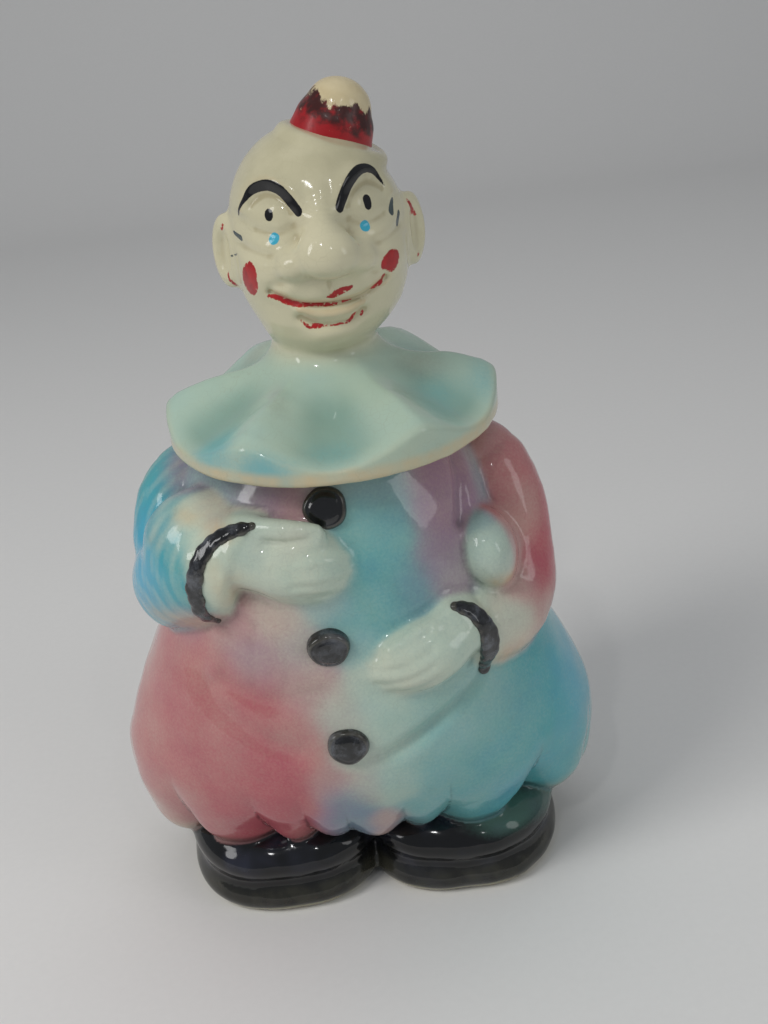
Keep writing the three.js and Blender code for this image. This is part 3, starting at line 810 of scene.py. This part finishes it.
# ------------------------------------------------------------------ the painted face
# Strokes on the head, in the head's own frame: rows of x, y, z, half width in mm.
STROKES = {
    "black": [
        [
            (-24, -11, 46.2, 0.3), (-21.8, -15, 51, 0.8), (-18.8, -16.5, 54.2, 1.4),
            (-14.6, -20, 55.6, 1.8), (-11.2, -23, 54.6, 1.9), (-8.4, -25, 51.8, 1.8),
            (-6.3, -27, 48.6, 1.6),
        ],
        [
            (5.9, -27.5, 48.3, 1.6), (7.4, -26, 51.2, 1.8), (10.1, -24, 54.5, 2),
            (13.3, -21.4, 56.7, 1.8), (16.4, -18.6, 56.6, 1.3), (19.5, -16.2, 54.4, 0.8),
            (21.8, -15.2, 51, 0.3),
        ],
        [(-14.9, -22.6, 47.3, 1.5), (-14.9, -22.6, 47.9, 1.5)],
        [(14.5, -22.7, 46.9, 1.4), (14.5, -22.7, 48.6, 1.5)],
    ],
    "grey": [
        [(-26.6, -7, 40.4, 0.6), (-24.6, -11.4, 39.2, 1)],
        [(-27.7, -3, 32.2, 0.3), (-25.8, -8.5, 33.9, 0.35)],
        [(22.7, -12.6, 45.2, 1), (21.9, -14.6, 42.6, 1.5)],
        [(24.2, -10.6, 40.8, 0.9), (23.4, -12.2, 38.4, 1.3)],
    ],
    "blue": [
        [(-13.8, -22.3, 40, 1.7), (-13.7, -22.3, 40.2, 1.7)],
        [(12.5, -23.2, 40.6, 1.6), (12.5, -23.2, 40.9, 1.6)],
    ],
    "red": [
        [(-21.6, -17.6, 30.4, 3.2), (-22.8, -16.2, 27.9, 4.2), (-24, -14.4, 25.4, 3.5)],
        [
            (18.2, -22.6, 29.4, 2.7), (19.6, -21.4, 30.2, 2.6), (20.8, -20, 29.6, 2.5),
            (19.6, -21, 28.2, 2.6),
        ],
        [
            (-17.3, -18.9, 22.6, 0.7), (-14.2, -22.5, 21.9, 1.1), (-10.8, -24.4, 20.6, 1.1),
            (-6.4, -24.8, 20.1, 0.9), (-2.2, -25.2, 19.5, 0.8), (1.5, -25.5, 19.4, 0.6),
            (6.2, -25.3, 19.9, 0.25),
        ],
        [
            (-1.4, -27, 22.6, 0.4), (0.7, -26.5, 22.4, 0.8), (2.8, -27.7, 23.7, 1.2),
            (6.6, -27.5, 24.6, 0.6),
        ],
        [
            (-9.6, -21.5, 14.6, 0.3), (-7.6, -22.3, 12.6, 0.6), (-5.3, -22.5, 12.4, 0.9),
            (-1.3, -23.4, 12.9, 0.4), (4.1, -22.6, 13.5, 0.5), (6.5, -24, 15.6, 0.8),
        ],
        [(8.3, -21.1, 14.2, 0.5), (8.8, -21.5, 15.8, 0.5)],
        [(15.4, -20.8, 25.2, 1.1), (14.6, -21.4, 23.9, 1.2), (12.9, -22.9, 22.4, 0.9)],
        [(9.3, -31, 37.4, 0.35), (9.4, -31, 37.6, 0.35)],
        [(30.5, -3, 43, 0.7), (33.5, -2, 38.5, 0.9), (34.5, -1, 36, 0.3)],
        [(33.5, -1, 24.5, 0.5), (33, -1, 23.5, 0.5)],
        [(-33.2, -2, 26, 0.5), (-31.8, -2, 22.5, 0.9), (-29.8, -2.5, 20.8, 0.5)],
        [(-32.5, -2.5, 42, 0.7), (-33.5, -2, 40.5, 0.5)],
    ],
}


def settle(f, rows, steps=6):
    """Moves the rows' points onto f's surface."""
    rows = np.array(rows, float)
    for _ in range(steps):
        rows[:, :3] += step_onto(f, rows[:, :3], 0.3)
    return rows


def stroke_distance(p, f, strokes):
    """Distance from p to the painted strokes on f's surface, less their half width."""
    d = np.full(len(p), 20.0)
    for rows in strokes:
        rows = settle(f, spline(rows) if len(rows) > 2 else rows)
        low, high = rows[:, :3].min(0) - 6, rows[:, :3].max(0) + 6
        near = ((p > low) & (p < high)).all(-1)
        if near.any():
            d[near] = np.minimum(d[near], chain(p[near], rows, fine=False))
    return d


# ------------------------------------------------------------------ small pieces

BUTTONS = ["button_top", "button_middle", "button_bottom"]
BUTTON_R = 6.9
BUTTON_HEIGHT = 3.0


def surface_at(f, start):
    """The nearest point of f's surface, and its outward normal."""
    at = settle(f, [(*start, 0)])[0, :3]
    g, _ = gradient(f, at[None], 0.8)
    return at, g[0] / np.linalg.norm(g[0])


def facing(normal):
    """A rotation whose third column is the normal and whose second points as nearly up as it can."""
    side = np.cross([0, 0, 1], normal)
    side /= np.linalg.norm(side)
    return np.column_stack([side, np.cross(normal, side), normal])


def button(index):
    low, high = (np.array(c) / MM - [0, AXIS_Y, 0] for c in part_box(BUTTONS[index]))
    at, normal = surface_at(outside, (low + high) / 2)
    turn = facing(normal)
    squash = (1.0, 0.97, 0.94)[index]

    def shape(p):
        q = (p - at) @ turn
        angle = np.arctan2(q[:, 1], q[:, 0])
        r = np.hypot(q[:, 0], q[:, 1] / squash)
        r = r + 0.16 * np.cos(3 * angle + index) + 0.1 * np.cos(5 * angle + 2 * index)
        side = smax(r - BUTTON_R, -2.4 - q[:, 2], 0.4)
        dome = q[:, 2] - BUTTON_HEIGHT * np.sqrt(np.clip(1 - (r / (BUTTON_R + 0.8)) ** 2, 0.02, 1))
        dome += 0.22 * bell(r - 5.0, 0.8)
        return smax(side, dome, 1.4)

    return shape, at - 11, at + 11


# The cuffs' raised bands: rows of x, y, z, half width, from the upper end to the lower.
BAND_RIGHT = [
    (-23.6, -49, 160, 1), (-27, -48.5, 159.2, 1.9), (-30.3, -47.7, 157.9, 2.2),
    (-33.4, -47.4, 156.6, 2.3), (-36.3, -47.1, 154.6, 2.4), (-39.2, -47.8, 152, 2.5),
    (-41.4, -48, 148.4, 2.5), (-42.8, -48.1, 144.6, 2.6), (-43.4, -47, 140.8, 2.6),
    (-43.2, -45.8, 137.3, 2.5), (-43.1, -43.9, 133.8, 2.3), (-42.4, -41.9, 130.4, 1.9),
    (-40.2, -41, 126.8, 1),
]
BAND_LEFT = [
    (36.6, -50.4, 125.5, 1.4), (39.2, -49.8, 123.9, 2.2), (41.6, -49.1, 121.6, 2.7),
    (43.6, -49.5, 118.8, 3), (45, -49.4, 115.7, 3.2), (45.9, -49.3, 112.4, 3.4),
    (46.3, -49, 109, 3.3), (46, -48, 105.7, 2.9), (45.3, -47.2, 102.5, 2.3), (44.6, -46, 99.6, 2),
    (44.2, -44.4, 97, 2), (44, -44.2, 96.2, 1.6),
]


def band(rows):
    """A strip of beads pressed together, lying on the sleeve."""
    rows = settle(outside, np.array(rows) * [1, 1, 1, 1.16])

    def shape(p):
        d = chain(p, rows * [1, 1, 1, 0.88], fine=False)
        for k, (x, y, z, r) in enumerate(rows):
            d = smin(d, norm(p - [x, y, z]) - r * (1.0 if k % 2 else 0.94), 0.8)
        skin = outside(p)
        return smax(smax(d, skin - 1.3, 1.2), -skin - 1.0, 0.4)

    return shape, rows[:, :3].min(0) - 6, rows[:, :3].max(0) + 6


STOPPER = [
    (0, 0.9), (6, 0.9), (7, 1.5), (9, 1.5), (10, 0.9), (16.6, 0.9), (17.6, 1.3), (17.9, 2),
    (17.5, 2.8), (16.4, 3.5), (15, 3.6), (14.2, 4.2), (14.25, 5.4), (13.9, 6.2), (13.6, 7),
    (13.5, 8.6), (13, 10.4), (12.4, 11.8), (11.4, 12.7), (8, 12.9), (7, 12.2), (0, 12),
]


def lathe(profile, sides):
    """Vertices, quads and normals of a profile of radius and height, turned about the mouth's axis."""
    profile = spline(profile, 3)
    profile[:, 0] = np.maximum(profile[:, 0], 0.02)
    angle = np.arange(sides) * 2 * np.pi / sides
    ring = np.column_stack([np.cos(angle), np.sin(angle)])
    vertices = np.concatenate([np.column_stack([r * ring, np.full(sides, z)]) for r, z in profile])
    slope = np.gradient(profile, axis=0)
    slope /= np.maximum(norm(slope), 1e-9)[:, None]
    normals = np.concatenate([np.column_stack([dz * ring, np.full(sides, -dr)]) for dr, dz in slope])
    j = np.arange(sides)
    after = (j + 1) % sides
    band = np.column_stack([j, after, sides + after, sides + j])
    quads = [k * sides + band for k in range(len(profile) - 1)]
    return vertices, np.concatenate(quads), normals


# ------------------------------------------------------------------ materials


def rgb(code):
    """A linear colour from an sRGB hex code."""
    c = np.array([int(code[i : i + 2], 16) for i in (1, 3, 5)]) / 255
    return (*np.where(c < 0.04045, c / 12.92, ((c + 0.055) / 1.055) ** 2.4), 1)


class Graph:
    """A material's node tree, written from the texture coordinates towards the shader."""

    def __init__(self, name, **constants):
        self.material = bpy.data.materials.new(name)
        self.material.use_nodes = True
        self.nodes = self.material.node_tree.nodes
        self.shader = next(n for n in self.nodes if n.type == "BSDF_PRINCIPLED")
        for key, value in constants.items():
            self.shader.inputs[key.replace("_", " ")].default_value = value
        self.place = self.nodes.new("ShaderNodeTexCoord").outputs["Object"]

    def link(self, value, socket):
        """Feeds a socket from another node's output, or sets it to a number or an sRGB hex colour."""
        if isinstance(value, bpy.types.NodeSocket):
            self.material.node_tree.links.new(value, socket)
        else:
            socket.default_value = rgb(value) if isinstance(value, str) else value

    def node(self, kind, inputs, out=0, **settings):
        n = self.nodes.new("ShaderNode" + kind)
        for key, value in settings.items():
            setattr(n, key, value)
        for key, value in inputs.items():
            self.link(value, n.inputs[key])
        return n.outputs[out]

    def mask(self, name):
        return self.node("Attribute", {}, "Fac", attribute_name=name)

    def noise(self, size_mm, detail=3.0, roughness=0.5, stretch=None):
        place = self.place
        if stretch:
            place = self.node("Mapping", {"Vector": place, "Scale": stretch})
        inputs = {"Vector": place, "Scale": 1 / (size_mm * MM), "Detail": detail, "Roughness": roughness}
        return self.node("TexNoise", inputs, "Fac")

    def add(self, a, b, clamp=False, operation="ADD"):
        return self.node("Math", {0: a, 1: b}, operation=operation, use_clamp=clamp)

    def less(self, a, b):
        return self.add(a, b, operation="SUBTRACT")

    def times(self, a, b, clamp=False):
        return self.add(a, b, clamp, "MULTIPLY")

    def ramp(self, value, low, high, start=0.0, end=1.0):
        inputs = {"Value": value, "From Min": low, "From Max": high, "To Min": start, "To Max": end}
        return self.node("MapRange", inputs, interpolation_type="SMOOTHSTEP")

    def mix(self, factor, a, b, how="MIX"):
        return self.node("Mix", {0: factor, 6: a, 7: b}, 2, data_type="RGBA", blend_type=how)

    def blend(self, factor, a, b):
        """mix, for plain numbers."""
        return self.node("Mix", {0: factor, 2: a, 3: b}, 0, data_type="FLOAT")

    def blur(self, drift_mm, drift_share):
        """A slow drift, and the drift with an airbrush's fine grain, both about 0."""
        grain = self.less(self.noise(0.9, 4, 0.65), 0.5)
        drift = self.less(self.noise(drift_mm, 3, 0.5), 0.5)
        return drift, self.add(self.times(grain, 0.3), self.times(drift, drift_share))

    def glazed(self, base, roughness, depth_mm):
        """Ends a glaze, which leaves the clay bare where the mask says so."""
        clay = self.mix(self.noise(1.4, 4, 0.7), CLAY, "#b9a886")
        base = self.mix(self.mask("bare"), base, clay)
        roughness = self.blend(self.mask("bare"), roughness, 0.75)
        return self.finish(base, roughness, self.noise(4.5, 2, 0.4), depth_mm)

    def crazing(self, size_mm, width=0.035):
        """The net of hairline cracks in an old glaze."""
        scale = 1 / (size_mm * MM)
        noise = {"Vector": self.place, "Scale": scale, "Detail": 1.0}
        bend = self.node("TexNoise", noise, "Color")
        place = self.node("Mix", {0: 0.0016, 4: self.place, 5: bend}, 1, data_type="VECTOR")
        inputs = {"Vector": place, "Scale": scale}
        edge = self.node("TexVoronoi", inputs, "Distance", feature="DISTANCE_TO_EDGE")
        return self.ramp(edge, 0.0, width, 1.0, 0.0)

    def finish(self, colour, roughness, height=None, depth_mm=0.1):
        self.link(colour, self.shader.inputs["Base Color"])
        self.link(roughness, self.shader.inputs["Roughness"])
        if height is not None:
            bump = {"Height": height, "Distance": depth_mm * MM, "Strength": 1.0}
            self.link(self.node("Bump", bump, "Normal"), self.shader.inputs["Normal"])
        return self.material


CREAM = "#d9d3bb"
PALE_GREEN = "#b9cfbd"
TAN = "#c9a678"
TURQUOISE = "#3a97a8"
ROSE = "#a84354"
VIOLET = "#84789c"
BLACK = "#090a0c"
CLAY = "#d2c3a6"


def body_glaze(name):
    g = Graph(name, IOR=1.5, Coat_Weight=0.1, Coat_Roughness=0.03)
    drift, blur = g.blur(14, 0.25)
    turquoise, rose = (
        g.add(g.mask(paint), g.times(blur, g.ramp(g.mask(paint), 0.0, 0.3, 0.3, 1.0)), True)
        for paint in ("turquoise", "rose")
    )
    base = g.mix(g.noise(22, 2), CREAM, PALE_GREEN)
    blue = g.mix(g.mask("sky"), g.mix(g.noise(9, 3), TURQUOISE, "#46a19f"), "#3ba2c6")
    base = g.mix(g.times(turquoise, 0.96), base, blue)
    base = g.mix(g.times(rose, 0.94), base, g.mix(g.noise(9, 3), ROSE, "#b5505c"))
    both = g.times(g.times(turquoise, rose), 2.2, True)
    base = g.mix(g.times(both, 0.7), base, VIOLET)
    thin = g.ramp(g.add(g.mask("edge"), g.times(drift, 0.2)), 0.3, 0.9, 0.0, 0.45)
    base = g.mix(thin, base, TAN)
    base = g.mix(g.times(g.mask("tan"), g.ramp(g.noise(6, 4), 0.3, 0.7, 0.3, 0.9)), base, TAN)
    # The creases are darkened with a grey-green.
    darker_in_creases = g.ramp(g.mask("edge"), -0.6, -0.1, 0.5, 0.0)
    base = g.mix(darker_in_creases, base, g.mix(1.0, base, "#7b8a86", "MULTIPLY"))
    # Painted shade under the hem, where it meets the shoes: a near-black green.
    base = g.mix(g.times(g.mask("hem"), 0.75), base, "#1c2424")
    black = g.ramp(g.add(g.mask("black"), g.times(blur, 0.5)), 0.2, 0.8)
    shoe = g.mix(g.ramp(g.add(g.mask("green"), blur), 0.2, 1.0), BLACK, "#3f5f55")
    # Painted reflection: a bluish sheen in blotches over the shoes' black glaze.
    shoe = g.mix(g.ramp(g.noise(16, 2), 0.45, 0.75, 0.0, 0.22), shoe, "#4c5068")
    sole = g.times(g.mask("sole"), g.ramp(g.noise(8, 3), 0.3, 0.7, 0.25, 0.85))
    shoe = g.mix(sole, shoe, "#35342a")
    low = g.add(g.mask("foot"), g.times(drift, 0.5))
    shoe = g.mix(g.ramp(low, 0.2, 0.9, 0.0, 0.9), shoe, "#a09b7c")
    base = g.mix(black, base, shoe)
    craze = g.times(g.crazing(3.2), 0.09)
    base = g.mix(g.times(craze, g.ramp(black, 0.0, 0.6, 1.0, 0.0)), base, "#6f6454")
    return g.glazed(base, g.ramp(g.noise(5, 3), 0.2, 0.8, 0.06, 0.13), 0.10)


def lid_glaze(name):
    g = Graph(name, IOR=1.5, Coat_Weight=0.1, Coat_Roughness=0.03)
    drift, blur = g.blur(12, 0.3)
    base = g.mix(g.noise(15, 2), "#d3ccae", "#c6c1a2")
    # Painted shade: the crown of the head darker, in blotches.
    crown = g.times(g.mask("crown"), g.ramp(g.noise(11, 4), 0.25, 0.75, 0.35, 0.85))
    base = g.mix(crown, base, "#b2ac8e")
    collar_green = g.mix(g.noise(18, 3), "#b3c4ae", "#a3bfb4")
    base = g.mix(g.ramp(g.mask("collar"), 0.0, 1.0), base, collar_green)
    # Painted shade: a darker grey-green in the valleys between the collar's pleats.
    base = g.mix(g.times(g.mask("dish_shade"), 0.68), base, "#769b8f")
    turquoise = g.ramp(g.add(g.mask("turquoise"), blur), 0.05, 0.95)
    base = g.mix(g.times(turquoise, 0.85), base, "#4fa7b2")
    rose = g.ramp(g.add(g.mask("rose"), blur), 0.05, 0.95)
    base = g.mix(rose, base, g.mix(1.0, base, "#cfa9a8", "MULTIPLY"))
    thin = g.ramp(g.add(g.mask("edge"), g.times(drift, 0.25)), 0.35, 0.95, 0.0, 0.4)
    base = g.mix(thin, base, "#c9ab80")
    rim = g.times(g.mask("rim"), g.ramp(g.noise(7, 3), 0.2, 0.8, 0.4, 0.8))
    base = g.mix(rim, base, "#cdb48a")
    # The creases are darkened with a tan.
    darker_in_creases = g.ramp(g.mask("edge"), -0.7, -0.1, 0.4, 0.0)
    base = g.mix(darker_in_creases, base, g.mix(1.0, base, "#b5a584", "MULTIPLY"))
    craze = g.times(g.crazing(3.0), g.ramp(g.noise(25, 2), 0.35, 0.7, 0.04, 0.16))
    base = g.mix(craze, base, "#8d8268")
    wear = g.times(g.ramp(g.noise(1.6, 5, 0.7), 0.5, 0.78), 1.6)
    rag = g.times(g.less(g.noise(0.8, 3, 0.6), 0.5), 0.7)
    red = g.ramp(g.add(g.add(g.mask("ink_red"), wear), rag), -0.12, 0.12, 1.0, 0.0)
    ink_red = g.mix(g.noise(2.2, 3), "#c01a1c", "#7c1316")
    base = g.mix(red, base, ink_red)
    inks = [("ink_grey", "#3d4a4a"), ("ink_blue", "#3fa9c4"), ("ink_black", "#0e0e11")]
    for ink, colour in inks:
        edge = g.add(g.mask(ink), g.times(rag, 0.35))
        base = g.mix(g.ramp(edge, -0.1, 0.12, 1.0, 0.0), base, colour)
    return g.glazed(base, g.blend(red, g.ramp(g.noise(5, 3), 0.2, 0.8, 0.07, 0.15), 0.38), 0.08)


def black_glaze(name, streak):
    g = Graph(name, IOR=1.53, Coat_Weight=0.5, Coat_Roughness=0.03)
    haze = g.ramp(g.noise(5.5, 4, 0.6), 0.42, 0.75, 0.0, streak)
    base = g.mix(haze, BLACK, "#6c7078")
    thin = g.ramp(g.mask("edge"), 0.5, 1.0, 0.0, 0.45)
    base = g.mix(thin, base, "#5d5a50")
    base = g.mix(g.ramp(g.noise(1.1, 3, 0.7), 0.62, 0.8, 0.0, 0.25), base, "#4b4d52")
    return g.finish(base, g.ramp(g.noise(3, 3), 0.2, 0.8, 0.06, 0.16), g.noise(2.2, 2, 0.5), 0.12)


def hat_paint(name):
    """Cold red paint, half worn off a cream glaze."""
    g = Graph(name, IOR=1.5, Coat_Weight=0.1, Coat_Roughness=0.1)
    cream = g.mix(g.noise(6, 3), "#d3c6a4", "#bfae86")
    streaks = g.noise(4.0, 5, 0.62, (1.0, 1.0, 0.4))
    level = g.add(g.mask("up"), g.times(g.less(streaks, 0.5), 16.0))
    kept = g.ramp(level, 10.4, 11.6, 1.0, 0.0)
    chips = g.ramp(g.noise(1.8, 4, 0.7, (1.0, 1.0, 0.6)), 0.66, 0.74, 0.0, 0.8)
    low = g.ramp(g.mask("up"), 0.5, 3.5, 0.0, 1.0)
    kept = g.times(kept, g.less(1.0, g.times(chips, low)))
    darker = g.add(g.noise(3.5, 4, 0.6), g.ramp(g.mask("up"), 1.0, 9.0, -0.14, 0.2))
    paint = g.mix(g.ramp(darker, 0.35, 0.7), "#9c1219", "#3a120f")
    base = g.mix(kept, cream, paint)
    roughness = g.blend(kept, 0.14, 0.36)
    return g.finish(base, roughness, g.add(g.times(kept, 0.5), g.noise(2, 3)), 0.1)


def rubber(name):
    g = Graph(name, IOR=1.5)
    dust = g.ramp(g.noise(2.5, 5, 0.7), 0.45, 0.8, 0.0, 0.35)
    base = g.mix(dust, "#26221f", "#5c5348")
    return g.finish(base, g.ramp(g.noise(1.2, 3), 0.2, 0.8, 0.6, 0.85), g.noise(0.5, 3, 0.6), 0.05)


# ------------------------------------------------------------------ build

STEP = {"body": 1.4, "lid": 0.8, "small": 0.35}


def split(shape, masks, label, wanted):
    """The part of a mesh whose faces have the wanted label."""
    vertices, quads, normals = shape
    faces = quads[label[quads[:, 0]] == wanted]
    used, numbered = np.unique(faces, return_inverse=True)
    return (vertices[used], numbered.reshape(-1, 4), normals[used]), {k: v[used] for k, v in masks.items()}


def robe_alone(p):
    return smax(robe(p), -foot_well(p), 1.2)


def build_body():
    shape = mesh_of(body, (-92, -68, -3), (92, 60, 181), STEP["body"])
    vertices = shape[0]
    masks = body_masks(vertices)
    shapes = [robe_alone, sleeve_right, sleeve_left, hand_right, hand_left]
    shapes += [lambda q: shoe(q, -1), lambda q: shoe(q, 1)]
    label = np.argmin(np.column_stack([in_parts(f, vertices) for f in shapes]), 1)
    label[in_parts(hollow, vertices) < 1.2] = 0
    names = [
        ("robe", "robe_shell", "robe_glaze"), ("sleeve_right_cloth", "sleeve_right", "robe_glaze"),
        ("sleeve_left_cloth", "sleeve_left", "robe_glaze"), ("mitten_right", "hand_right", "cream_glaze"),
        ("mitten_left", "hand_left", "cream_glaze"), ("boot_right", "shoe_right", "black_glaze"),
        ("boot_left", "shoe_left", "black_glaze"),
    ]
    finishes = {slot: body_glaze(slot + "_finish") for slot in ("robe_glaze", "cream_glaze", "black_glaze")}
    for number, (name, node, slot) in enumerate(names):
        part, part_masks = split(shape, masks, label, number)
        piece(name, "figure", [node], part, finishes[slot], part_masks)


def build_black(node, suffix, f, low, high, haze):
    shape = mesh_of(f, low, high, STEP["small"])
    masks = {"edge": np.clip(bulge(f, shape[0], 0.6), -1, 1)}
    finish = black_glaze(node + "_finish", haze)
    piece(node + suffix, "figure", [node], shape, finish, masks)


def build_small():
    for index, (node, haze) in enumerate(zip(BUTTONS, (0.1, 0.45, 0.75))):
        build_black(node, "_dome", *button(index), haze)
    for node, rows in (("cuff_right", BAND_RIGHT), ("cuff_left", BAND_LEFT)):
        build_black(node, "_band", *band(rows), 0.6)
    piece("plug", "stopper", ["base_stopper"], lathe(STOPPER, 96), rubber("plug_rubber"))


COLLAR_TURQUOISE = [
    (-33, -36, 181, 13, 12, 8, 0.7), (-23, -52, 177, 14, 5.5, 8, 1), (4, -46, 178, 11, 7, 6, 0.35),
    (40, -22, 185, 10, 14, 8, 0.4), (54, 0, 184, 6, 20, 9, 0.4), (-48, 10, 182, 8, 14, 8, 0.4),
    (0, 44, 182, 30, 14, 9, 0.7), (28, -42, 176, 12, 8, 5, 0.3),
]
COLLAR_ROSE = [
    (32, -6, 190, 12, 10, 6, 0.35), (-12, -26, 190, 4, 12, 8, 0.3), (-20, 30, 188, 14, 10, 6, 0.4),
]


def lid_masks(p):
    q = (p - HEAD_AT) @ HEAD_TURN
    inside = in_parts(lid_hollow, p)
    x, y, z = p.T
    away = np.hypot(x - COLLAR_X, y)
    fold = np.sin(3 * np.arctan2(y, x - COLLAR_X)) ** 2
    # Painted shade: the valleys between the collar's pleats are darkened, as though in shade.
    dish_shade = smooth(fold, 0.15, 1.0) * smooth(away, 20, 34) * fade(away, 47, 54)
    under = fade(z - COLLAR_UNDER(np.hypot(x, y)), 0.6, 1.6) * fade(away, 48, 52)
    masks = {
        "turquoise": spray(p, COLLAR_TURQUOISE),
        "rose": spray(p, COLLAR_ROSE),
        "collar": fade(z, 192, 208),
        "dish_shade": dish_shade * smooth(z, 176, 178) * fade(z, 190, 198),
        # Painted shade: the glaze is darkened towards the top of the head.
        "crown": smooth(z, 238, 260),
        "rim": smooth(away, 52.3, 54.2) * (1 - 0.85 * smooth(z, 175.5, 178.5)),
        "edge": np.clip(bulge(lid, p, 0.9), -1, 1),
        "bare": np.maximum(fade(inside, 0.4, 1.0), under),
    }
    for ink, strokes in STROKES.items():
        masks["ink_" + ink] = stroke_distance(q, lambda r: lid(HEAD_AT + r @ HEAD_TURN.T), strokes)
    return masks


def build_lid():
    shape = mesh_of(lid, (-58, -62, 161), (66, 62, 280), STEP["lid"])
    masks = lid_masks(shape[0])
    label = (shape[0][:, 2] > NECK_Z).astype(int)
    pieces = [
        ("ruff", "collar_glaze", ["collar", "lid_ring"], "collar_finish"),
        ("clown_head", "cream_glaze", ["head", "ear_right", "ear_left"], "face_finish"),
    ]
    for number, (name, slot, nodes, finish) in enumerate(pieces):
        part, part_masks = split(shape, masks, label, number)
        piece(name, "head_top", nodes, part, lid_glaze(finish), part_masks)
    cap = mesh_of(hat, (-4, -20, 255), (34, 20, 286), STEP["small"] * 1.3)
    up = (cap[0] - HAT_AT) @ HAT_TURN
    piece("little_hat", "head_top", ["hat"], cap, hat_paint("hat_finish"), {"up": up[:, 2]})


build_body()
build_small()
build_lid()

# ------------------------------------------------------------------ stage, lights and camera


def backdrop():
    """A pale floor that curves up into a wall."""
    bend = [(1.1 + 0.4 * math.sin(a), 0.4 - 0.4 * math.cos(a)) for a in np.linspace(0, math.pi / 2, 24)]
    line = [(-1.6, 0.0), (0.2, 0.0), (0.8, 0.0), *bend, (1.5, 2.2)]
    vertices = [(x, y, z) for y, z in line for x in (-2.4, -0.8, 0.8, 2.4)]
    corners = [4 * j + i for j in range(len(line) - 1) for i in range(3)]
    faces = [(c, c + 1, c + 5, c + 4) for c in corners]
    g = Graph("backdrop_paper", IOR=1.4)
    colour = g.mix(g.noise(3, 4, 0.6), "#dddcda", "#e2e1df")
    paper = g.finish(colour, g.ramp(g.noise(9, 3), 0.2, 0.8, 0.7, 0.8))
    in_scene("backdrop", smooth_mesh("backdrop", vertices, faces, paper))


LIGHTS_AIM = Vector((0, 0, 0.14))


def softbox(name, place, size, power, colour=(1, 1, 1), mirrored=True):
    """An area light aimed at the figure; one that isn't mirrored lights the glaze without showing in it."""
    light = bpy.data.lights.new(name, "AREA")
    light.shape = "ELLIPSE" if mirrored else "RECTANGLE"
    light.size, light.size_y = size
    light.energy = power
    light.color = colour
    o = in_scene(name, light)
    o.visible_glossy = mirrored
    o.location = place
    o.rotation_euler = (LIGHTS_AIM - Vector(place)).to_track_quat("-Z", "Y").to_euler()


backdrop()
softbox("key", (-0.75, -0.50, 1.05), (0.45, 0.45), 6.0, (1.0, 0.98, 0.95), mirrored=False)
softbox("glint", (-0.25, -0.75, 1.1), (0.05, 0.07), 0.8)
softbox("spark", (0.30, -0.80, 0.95), (0.03, 0.04), 0.25)
softbox("window", (-0.95, -0.45, 0.70), (0.26, 0.60), 1.7)
softbox("card", (0.95, -0.55, 0.60), (0.30, 0.60), 0.7)
softbox("fill", (0.9, -0.7, 0.35), (0.9, 0.7), 1.9, (0.95, 0.98, 1.0), mirrored=False)
softbox("top", (0.0, 0.35, 1.3), (1.0, 0.5), 2.0, mirrored=False)

world = bpy.data.worlds.new("studio")
bpy.context.scene.world = world
world.use_nodes = True
world.node_tree.nodes["Background"].inputs["Color"].default_value = (0.80, 0.84, 0.90, 1)
world.node_tree.nodes["Background"].inputs["Strength"].default_value = 0.30
bpy.context.scene.view_settings.view_transform = "Standard"

PITCH = 26.0
ROLL = -6.4
LENS = 43.95
CAMERA_AT = (17, AXIS_Y - 392, 327)
camera = in_scene("camera", bpy.data.cameras.new("camera"))
bpy.context.scene.camera = camera
camera.data.sensor_width = 36
camera.data.lens = LENS
place = Vector([c * MM for c in CAMERA_AT])
tilt = Matrix.Rotation(math.radians(90 - PITCH), 4, "X") @ Matrix.Rotation(math.radians(ROLL), 4, "Z")
camera.matrix_world = Matrix.Translation(place) @ tilt
